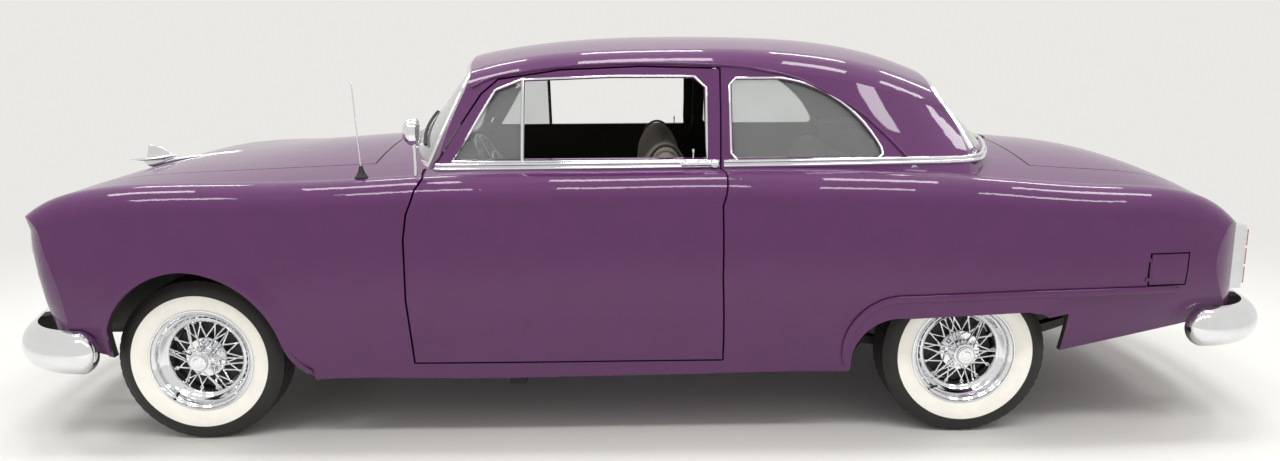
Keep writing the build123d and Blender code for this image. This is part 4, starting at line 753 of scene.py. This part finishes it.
# x from the front axle, z_low, z_high, half width
ORNAMENT_BODY = [
    (-0.621, 1.0520, 1.0560, 0.002), (-0.600, 1.0500, 1.0590, 0.010), (-0.557, 1.0477, 1.0640, 0.022),
    (-0.500, 1.0480, 1.0700, 0.026), (-0.455, 1.0540, 1.0750, 0.022), (-0.413, 1.0640, 1.0785, 0.010),
    (-0.398, 1.0680, 1.0770, 0.003),
]
ORNAMENT_FOOT = [
    (-0.553, 1.0400, 1.0560, 0.006), (-0.530, 1.0200, 1.0600, 0.011), (-0.500, 0.9980, 1.0600, 0.014),
    (-0.470, 1.0050, 1.0620, 0.013), (-0.448, 1.0200, 1.0620, 0.008),
]
ORNAMENT_SPEAR = [
    (-0.455, 1.016, 1.052, 0.008), (-0.430, 1.020, 1.060, 0.011), (-0.380, 1.032, 1.066, 0.010),
    (-0.280, 1.050, 1.076, 0.009), (-0.180, 1.066, 1.086, 0.007), (-0.100, 1.078, 1.093, 0.004),
    (-0.084, 1.082, 1.092, 0.002),
]
# x from the front axle, z
FIN_OUTLINE = [
    (-0.536, 1.062), (-0.527, 1.100), (-0.523, 1.122), (-0.508, 1.1230), (-0.466, 1.1130),
    (-0.438, 1.098), (-0.412, 1.076), (-0.450, 1.068),
]


def ornament_loft(name, rows):
    """An oval form along the car, cut off just under the hood's skin."""
    verts = []
    for offset_x, z_low, z_high, half in rows:
        spot = (FA + offset_x, 0, 1.04)
        skin, _ = seat_on(hood_skin, (FA + offset_x, 0, 1.4), (0, 0, -1), spot)
        z_low = max(z_low, skin.z - 0.004)
        z_high = max(z_high, skin.z + 0.004)
        middle, rise = (z_low + z_high) / 2, (z_high - z_low) / 2
        oval = round_section(1.0, 14)
        verts += [(FA + offset_x, half * across, middle + rise * up) for across, up in oval]
    faces = net(len(rows), 14, False, True) + ends(len(rows), 14)
    piece = finish_mesh(name, verts, faces, pale_metal, "hood", 60.0)
    smooth = piece.modifiers.new("smooth", "SUBSURF")
    smooth.levels = smooth.render_levels = 2
    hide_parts("hood_ornament")


ornament_loft("ornament_body", ORNAMENT_BODY)
ornament_loft("ornament_foot", ORNAMENT_FOOT)
ornament_loft("ornament_spear", ORNAMENT_SPEAR)
size = len(FIN_OUTLINE)
verts = []
for half_low, half_high in ((-0.007, -0.003), (0.007, 0.003)):
    for offset_x, z in FIN_OUTLINE:
        share = (z - 1.062) / 0.061
        verts.append((FA + offset_x, half_low + (half_high - half_low) * share, z))
faces = net(2, size, False, True) + ends(2, size)
fin = finish_mesh("ornament_fin", verts, faces, pale_metal, "hood", 30.0)
soft = fin.modifiers.new("soft", "BEVEL")
soft.width = 0.002
soft.segments = 2
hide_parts("hood_ornament")

# Mirror glass and shell, antenna
MIRROR = Vector((FA + 0.909, -0.878, 1.260))
lathe(
    "mirror_glass", [(0.0125, 0.049), (0.0148, 0.049), (0.0148, 0.045), (0.0135, 0.044), (0.0135, 0.0)],
    MIRROR, (1, 0, 0), chrome, "body",
)
lathe(
    "mirror_shell", [(0.011, 0.0530), (0.020, 0.0500), (0.032, 0.0390), (0.040, 0.0220), (0.043, 0.0)],
    MIRROR, (-1, 0, 0), chrome, "body",
)
fender_skin = surface("front_fender_left")
foot, _ = seat_on(fender_skin, (FA + 0.690, -0.845, 1.5), (0, 0, -1), (FA + 0.690, -0.845, 1.07))
base_profile = [(-0.004, 0.026), (0.004, 0.026), (0.010, 0.020), (0.026, 0.012), (0.044, 0.008)]
base_profile += [(0.048, 0.005), (0.049, 0)]
antenna_base = lathe(
    "antenna_base", base_profile, foot, (0, 0, 1), black_rubber, "body", 28
)
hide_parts("antenna")
MAST_TOP = 1.447
mast_foot = foot + Vector((0, 0, 0.030))
mast = [mast_foot + Vector((-0.020, 0, MAST_TOP - mast_foot.z)) * (k / 12) for k in range(13)]
mast_piece = sweep("antenna_mast", mast, Vector((0, -1, 0)), round_section(0.0028, 10), chrome, "body")
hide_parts("antenna")
lathe(
    "antenna_tip", [(-0.005, 0.0035), (-0.002, 0.0052), (0.001, 0.004), (0.003, 0.0)], mast[-1],
    (0, 0, 1), chrome, "body",
)

# Radiator behind the grille
verts = []
for k in range(121):
    y = -0.36 + 0.72 * k / 120
    x = FA - 0.500 - (0.010 if k % 2 else 0.0)
    verts += [(x, y, 0.450), (x, y, 0.850), (x + 0.030, y, 0.850), (x + 0.030, y, 0.450)]
faces = net(121, 4, False, True) + ends(121, 4)
finish_mesh("radiator_core", verts, faces, chassis_black, "body", 20.0)

# Bumper bolts, trunk handle
bumper_skin = {-1: surface("front_bumper"), 1: surface("rear_bumper")}
for end, label in ((-1, "front"), (1, "rear")):
    for index, y in enumerate((-0.62, -0.40, 0.40, 0.62)):
        level = 0.398 if end < 0 else 0.456
        hit, normal = seat_on(
            bumper_skin[end], (end * 3.2, y, level), (-end, 0, 0), (end * 2.6, y, level),
        )
        lathe(
            f"bumper_bolt_{label}_{index + 1}",
            [(-0.004, 0.016), (0.002, 0.016), (0.006, 0.013), (0.0085, 0.007), (0.009, 0.0)],
            hit - normal * 0.003, normal, chrome, "body", steps=24,
        )
lid_skin = surface("trunk_lid")
lid_line = []
for k in range(9):
    y = -0.10 + 0.20 * k / 8
    hit, normal = seat_on(lid_skin, (3.2, y, 0.700), (-1, 0, 0), (2.5, y, 0.70))
    lid_line.append(hit + normal * (0.004 + 0.026 * math.sin(math.pi * k / 8)))
sweep("trunk_handle", through(lid_line, 3), normal, round_section(0.012, 12, 0.6), chrome, "trunk_lid")
lock, normal = seat_on(lid_skin, (3.2, 0.0, 0.745), (-1, 0, 0), (2.5, 0, 0.745))
lathe(
    "trunk_lock",
    [(-0.004, 0.020), (0.004, 0.020), (0.008, 0.016), (0.006, 0.012), (0.008, 0.009), (0.009, 0.0)],
    lock, normal, chrome, "trunk_lid", steps=28,
)

# Steering wheel: horn ring, button and spokes
COLUMN_LOW = Vector((FA + 0.735, -0.380, 0.760))
COLUMN_HIGH = Vector((FA + 1.165, -0.380, 0.990))
column = (COLUMN_HIGH - COLUMN_LOW).normalized()
WHEEL_MIDDLE = COLUMN_HIGH + column * 0.0224
lathe(
    "horn_ring", [(0.026 + out, 0.125 + across) for across, out in round_section(0.004)], WHEEL_MIDDLE,
    column, chrome, "steering_wheel", steps=72, ring=True,
)
lathe(
    "horn_button", [(0.020, 0.036), (0.026, 0.036), (0.031, 0.032), (0.035, 0.020), (0.036, 0.0)],
    WHEEL_MIDDLE, column, chrome, "steering_wheel", steps=36,
)
for turn in (90, 210, 330):
    first = column.orthogonal().normalized()
    spoke = Matrix.Rotation(math.radians(turn), 3, column) @ first
    run = [WHEEL_MIDDLE + column * 0.026 + spoke * (0.030 + 0.092 * k / 4) for k in range(5)]
    sweep(f"horn_spoke_{turn}", run, column, round_section(0.004, 8), chrome, "steering_wheel")

# Dashboard dials, radio, glove box
dash_out = Vector((0.170, 0, -0.050)).normalized()
DASH_MIDDLE = Vector((FA + 0.928, 0, 0.925))
for index, (y, radius) in enumerate(((-0.46, 0.052), (-0.34, 0.052), (-0.23, 0.034), (0.0, 0.040))):
    spot = DASH_MIDDLE + Vector((0.004, y, 0.012))
    lathe(
        f"dash_dial_{index + 1}",
        [
            (-0.006, radius + 0.004), (0.006, radius + 0.004), (0.011, radius), (0.008, radius - 0.004),
            (0.003, radius - 0.006), (0.002, 0.006), (0.007, 0.004), (0.008, 0.0),
        ],
        spot, dash_out, pale_metal if index == 3 else chrome, "body", steps=44,
    )
for index in range(9):
    spot = DASH_MIDDLE + Vector((0.004, -0.11 + 0.0275 * index, -0.045))
    bar = [spot + Vector((0, 0, -0.02 + 0.04 * k / 4)) for k in range(5)]
    sweep(f"radio_bar_{index + 1}", bar, dash_out, arch_section(0.012, 0.006), chrome, "body")
strip = [DASH_MIDDLE + Vector((0.009, -0.70 + 1.40 * k / 30, 0.055)) for k in range(31)]
sweep("dash_strip", strip, dash_out, arch_section(0.018, 0.006), chrome, "body")
glove = [(0.22, -0.06), (0.62, -0.06), (0.62, 0.035), (0.22, 0.035)]
glove_line = [DASH_MIDDLE + Vector((0.004 + 0.29 * z, y, z)) for y, z in flat_points(glove, 5)]
sweep("glove_box_edge", glove_line, dash_out, arch_section(0.007, 0.004), chrome, "body", closed=True)

# Door cards with pleats, arm rests, cranks and lock knobs
for side, name in SIDES:
    inward, door = Vector((0, -side, 0)), f"door_{name}"
    verts = []
    columns, rows = 96, 12
    for row in range(rows + 1):
        z = 0.420 + 0.510 * row / rows
        edge = min(row, rows - row) / rows
        for column_index in range(columns + 1):
            x = DOOR_FRONT + 0.170 + 0.990 * column_index / columns
            pleat = 0.0035 * abs(math.sin(math.pi * column_index / 4))
            rim = 0.004 * min(1.0, edge * 6, min(column_index, columns - column_index) / 3)
            verts.append((x, side * (0.877 - rim - pleat), z))
    faces = net(rows + 1, columns + 1)
    finish_mesh(f"door_card_{name}", verts, faces, trim_vinyl, door, 50.0)
    rest = []
    for k in range(11):
        bow = 0.020 * math.sin(math.pi * k / 10)
        rest.append(Vector((0.02 + 0.26 * k / 10, side * (0.868 - bow), 0.760)))
    sweep(
        f"arm_rest_{name}", rest, inward, round_section(0.026, 14, 0.8), trim_vinyl, door,
    )
    hub = Vector((-0.30, side * 0.866, 0.800))
    lathe(
        f"crank_boss_{name}",
        [(-0.010, 0.026), (0.004, 0.026), (0.010, 0.018), (0.018, 0.012), (0.020, 0.0)], hub,
        inward, chrome, door, steps=28,
    )
    bends = ((0.0, 0.012, 0.0), (-0.05, 0.024, 0.05), (-0.075, 0.024, 0.075))
    lever = through([hub + inward * out + Vector((along, 0, rise)) for along, out, rise in bends], 6)
    sweep(f"crank_lever_{name}", lever, inward, round_section(0.006, 10), chrome, door)
    lathe(
        f"crank_knob_{name}",
        [(0.0, 0.008), (0.006, 0.012), (0.022, 0.012), (0.028, 0.008), (0.029, 0.0)], lever[-1],
        inward, wheel_plastic, door, 20,
    )
    knob_x = DOOR_REAR - 0.105
    knob, _ = seat_on(house[name], (knob_x, side * 0.795, 1.4), (0, 0, -1), (knob_x, side * 0.79, 1.14))
    lathe(
        f"lock_knob_{name}",
        [(-0.004, 0.003), (0.020, 0.003), (0.022, 0.005), (0.032, 0.0055), (0.036, 0.004), (0.037, 0.0)],
        knob, (0, 0, 1), chrome, door, steps=16,
    )

# Rear-view mirror on the header
stalk = [Vector((FA + 1.19, 0, 1.478)), Vector((FA + 1.20, 0, 1.455)), Vector((FA + 1.215, 0, 1.425))]
sweep(
    "cabin_mirror_stalk", through(stalk, 4), Vector((0, 1, 0)), round_section(0.005, 10), chrome,
    "body",
)
pane = [Vector((FA + 1.222, -0.11 + 0.22 * k / 12, 1.405)) for k in range(13)]
sweep("cabin_mirror", pane, Vector((1, 0, 0)), round_section(0.026, 18, 0.32), chrome, "body")

# Seats: padded cushions and backs with sewn channels on dark bases
# name, node, x_base, half_width, profile of (x, z)
SEAT_PIECES = [
    (
        "front_cushion", "front_seat", FA, 0.625,
        [(1.350, 0.47), (1.345, 0.57), (1.380, 0.635), (1.550, 0.645), (1.730, 0.620), (1.785, 0.570),
         (1.775, 0.47), (1.560, 0.455)],
    ),
    (
        "front_back", "front_seat", FA, 0.625,
        [(1.813, 0.63), (1.803, 0.80), (1.800, 0.99), (1.811, 1.090), (1.843, 1.162), (1.893, 1.187),
         (1.943, 1.162), (1.978, 1.07), (1.989, 0.89), (1.986, 0.60), (1.898, 0.56)],
    ),
    (
        "rear_cushion", "rear_seat", RA, 0.572,
        [(-0.995, 0.47), (-1.000, 0.57), (-0.965, 0.635), (-0.780, 0.645), (-0.620, 0.620),
         (-0.595, 0.560), (-0.605, 0.47), (-0.800, 0.455)],
    ),
    (
        "rear_back", "rear_seat", RA, 0.572,
        [(-0.572, 0.64), (-0.545, 0.82), (-0.505, 1.01), (-0.475, 1.085), (-0.432, 1.115),
         (-0.385, 1.105), (-0.352, 1.04), (-0.348, 0.80), (-0.352, 0.60), (-0.45, 0.57)],
    ),
]
PUFF_CAP = 0.024
CHANNEL_PITCH = 0.145


def padded_piece(base, half, profile):
    """A crowned bench form: the profile carried across, its ends drawn in."""
    line = [(p.x, p.y) for p in through([(x, z, 0) for x, z in profile], 4, True)]
    mid_x = sum(x for x, z in line) / len(line)
    mid_z = sum(z for x, z in line) / len(line)
    verts = []
    stations = 33
    for station in range(stations):
        t = -1 + 2 * station / (stations - 1)
        draw = 0.72 + 0.28 * (1 - abs(t) ** 9) ** 0.5
        for x, z in line:
            verts.append((base + mid_x + (x - mid_x) * draw, half * t, mid_z + (z - mid_z) * draw))
    return verts, net(stations, len(line), False, True) + ends(stations, len(line))


def swell(piece):
    """Blows the form up as cloth under pressure, each point kept within the cap."""
    remesh = piece.modifiers.new("remesh", "REMESH")
    remesh.mode = "VOXEL"
    remesh.voxel_size = 0.015
    graph = bpy.context.evaluated_depsgraph_get()
    dense = bpy.data.meshes.new_from_object(piece.evaluated_get(graph))
    piece.modifiers.clear()
    piece.data = dense
    start = [v.co.copy() for v in dense.vertices]
    cloth = piece.modifiers.new("cloth", "CLOTH")
    cloth.settings.use_pressure = True
    cloth.settings.uniform_pressure_force = 4.0
    cloth.settings.effector_weights.gravity = 0.0
    for step in range(1, 21):
        scene.frame_set(step)
    graph = bpy.context.evaluated_depsgraph_get()
    blown = [v.co.copy() for v in piece.evaluated_get(graph).data.vertices]
    piece.modifiers.clear()
    scene.frame_set(1)
    for vertex, before, after in zip(dense.vertices, start, blown):
        move = after - before
        if move.length > PUFF_CAP:
            move = move.normalized() * PUFF_CAP
        vertex.co = before + move * 0.6
    dense.update()


def sew(piece, half):
    """Presses sewn channels into the outside of a padded piece."""
    mesh = piece.data
    for vertex in mesh.vertices:
        if abs(vertex.co.y) > half * 0.93:
            continue
        near = abs((vertex.co.y / CHANNEL_PITCH + 0.5) % 1.0 - 0.5) * CHANNEL_PITCH
        vertex.co -= vertex.normal * 0.009 * math.exp(-((near / 0.013) ** 2))
    mesh.update()


for name, node, base, half, profile in SEAT_PIECES:
    verts, faces = padded_piece(base, half, profile)
    cushion = finish_mesh(name, verts, faces, seat_cloth, "body", 60.0)
    swell(cushion)
    sew(cushion, half)
    cushion.data.polygons.foreach_set("use_smooth", [True] * len(cushion.data.polygons))
    cushion.data.materials.clear()
    cushion.data.materials.append(seat_cloth)
    rounded = cushion.modifiers.new("rounded", "SUBSURF")
    rounded.levels = rounded.render_levels = 1
    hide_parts(node)
    welt = [Vector((base + x, half * 0.955, z)) for x, z in profile]
    for side, label in SIDES:
        loop = through([Vector((p.x, side * p.y, p.z)) for p in welt], 4, True)
        middle = sum(loop, Vector()) / len(loop)
        loop = [middle + (p - middle) * 0.93 for p in loop]
        outs = [(p - middle).normalized() for p in loop]
        sweep(
            f"{name}_welt_{label}", loop, outs, round_section(0.006, 8), trim_vinyl, "body",
            True,
        )
# name, x_front, x_rear, half width
SEAT_BASES = [
    ("front_seat_base", FA + 1.41, FA + 1.975, 0.60), ("rear_seat_base", RA - 0.985, RA - 0.505, 0.555),
]
for name, x_front, x_rear, half in SEAT_BASES:
    verts = []
    for z, grow in ((0.321, 0.0), (0.330, 0.010), (0.440, 0.0), (0.500, -0.030)):
        for c, s in round_section(1.0, 48):
            reach = (x_rear - x_front + 2 * grow) / 2
            x = (x_front + x_rear) / 2 + reach * math.copysign(abs(c) ** 0.3, c)
            y = (half + grow) * math.copysign(abs(s) ** 0.3, s)
            verts.append((x, y, z))
    faces = net(4, 48, False, True) + ends(4, 48)
    base_piece = finish_mesh(name, verts, faces, trim_vinyl, "body", 50.0)
    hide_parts(name.replace("_base", ""))

# Camera
turn_start = Matrix(((1, 0, 0), (0, 0, -1), (0, 1, 0)))
turn_yaw = Matrix.Rotation(-CAMERA_YAW, 3, "Y")
turn_pitch = Matrix.Rotation(CAMERA_PITCH, 3, "X")
turn_roll = Matrix.Rotation(CAMERA_ROLL, 3, "Z")
right, down, forward = turn_roll @ turn_pitch @ turn_yaw @ turn_start
camera = bpy.data.objects.new("camera", bpy.data.cameras.new("camera"))
scene.collection.objects.link(camera)
camera.data.sensor_width = 36.0
camera.data.lens = CAMERA_LENS
camera.data.clip_end = 200.0
axes = Matrix((right, -down, -forward)).transposed().to_4x4()
camera.matrix_world = Matrix.Translation(CAMERA_PLACE) @ axes
scene.camera = camera

# Studio: pale floor, soft sky and rows of ceiling lamps
floor_mesh = bpy.data.meshes.new("floor")
floor_mesh.from_pydata([(-40, -40, 0), (40, -40, 0), (40, 40, 0), (-40, 40, 0)], [], [(0, 1, 2, 3)])
floor = bpy.data.objects.new("floor", floor_mesh)
scene.collection.objects.link(floor)
studio = material("floor", PALE, 0.6, spread=0.01, grain=0.6)
tree = studio.node_tree
glow = add_node(tree, "Emission", {"Color": (*BACKDROP, 1)})
spot = add_node(tree, "TexCoord", {}).outputs["Object"]
far = add_node(tree, "VectorMath", {0: spot}, "LENGTH").outputs["Value"]
fade = add_node(tree, "MapRange", {"From Min": FADE_START, "From Max": FADE_END, "Value": far})
fade.interpolation_type = "SMOOTHSTEP"
shaded = tree.nodes["Principled BSDF"].outputs["BSDF"]
join = add_node(
    tree, "MixShader", {"Fac": fade.outputs["Result"], 1: shaded, 2: glow.outputs["Emission"]}
)
tree.links.new(join.outputs["Shader"], tree.nodes["Material Output"].inputs["Surface"])
floor_mesh.materials.append(studio)

world = bpy.data.worlds.new("studio")
scene.world = world
world.use_nodes = True
sky = world.node_tree
background = sky.nodes["Background"]
background.inputs["Color"].default_value = (*BACKDROP, 1)
rays = add_node(sky, "LightPath", {}).outputs
seen = add_node(sky, "Math", {0: rays["Is Camera Ray"], 1: rays["Is Glossy Ray"]}, "ADD")
through_glass = {0: seen.outputs["Value"], 1: rays["Is Transmission Ray"]}
all_seen = add_node(sky, "Math", through_glass, "ADD")
all_seen.use_clamp = True
level = add_node(sky, "MapRange", {"To Min": 0.92, "To Max": 1.0, "Value": all_seen.outputs["Value"]})
sky.links.new(level.outputs["Result"], background.inputs["Strength"])

LAMP_ROWS = (-3.2, -0.6, 2.4)
LAMP_HEIGHT = 4.6
for row_y in LAMP_ROWS:
    for column in range(5):
        lamp = bpy.data.lights.new("ceiling_lamp", "AREA")
        lamp.shape = "RECTANGLE"
        lamp.size = 1.2
        lamp.size_y = 0.6
        lamp.energy = 30.0
        holder = bpy.data.objects.new("ceiling_lamp", lamp)
        holder.location = (-4.0 + 2.0 * column, row_y, LAMP_HEIGHT)
        scene.collection.objects.link(holder)
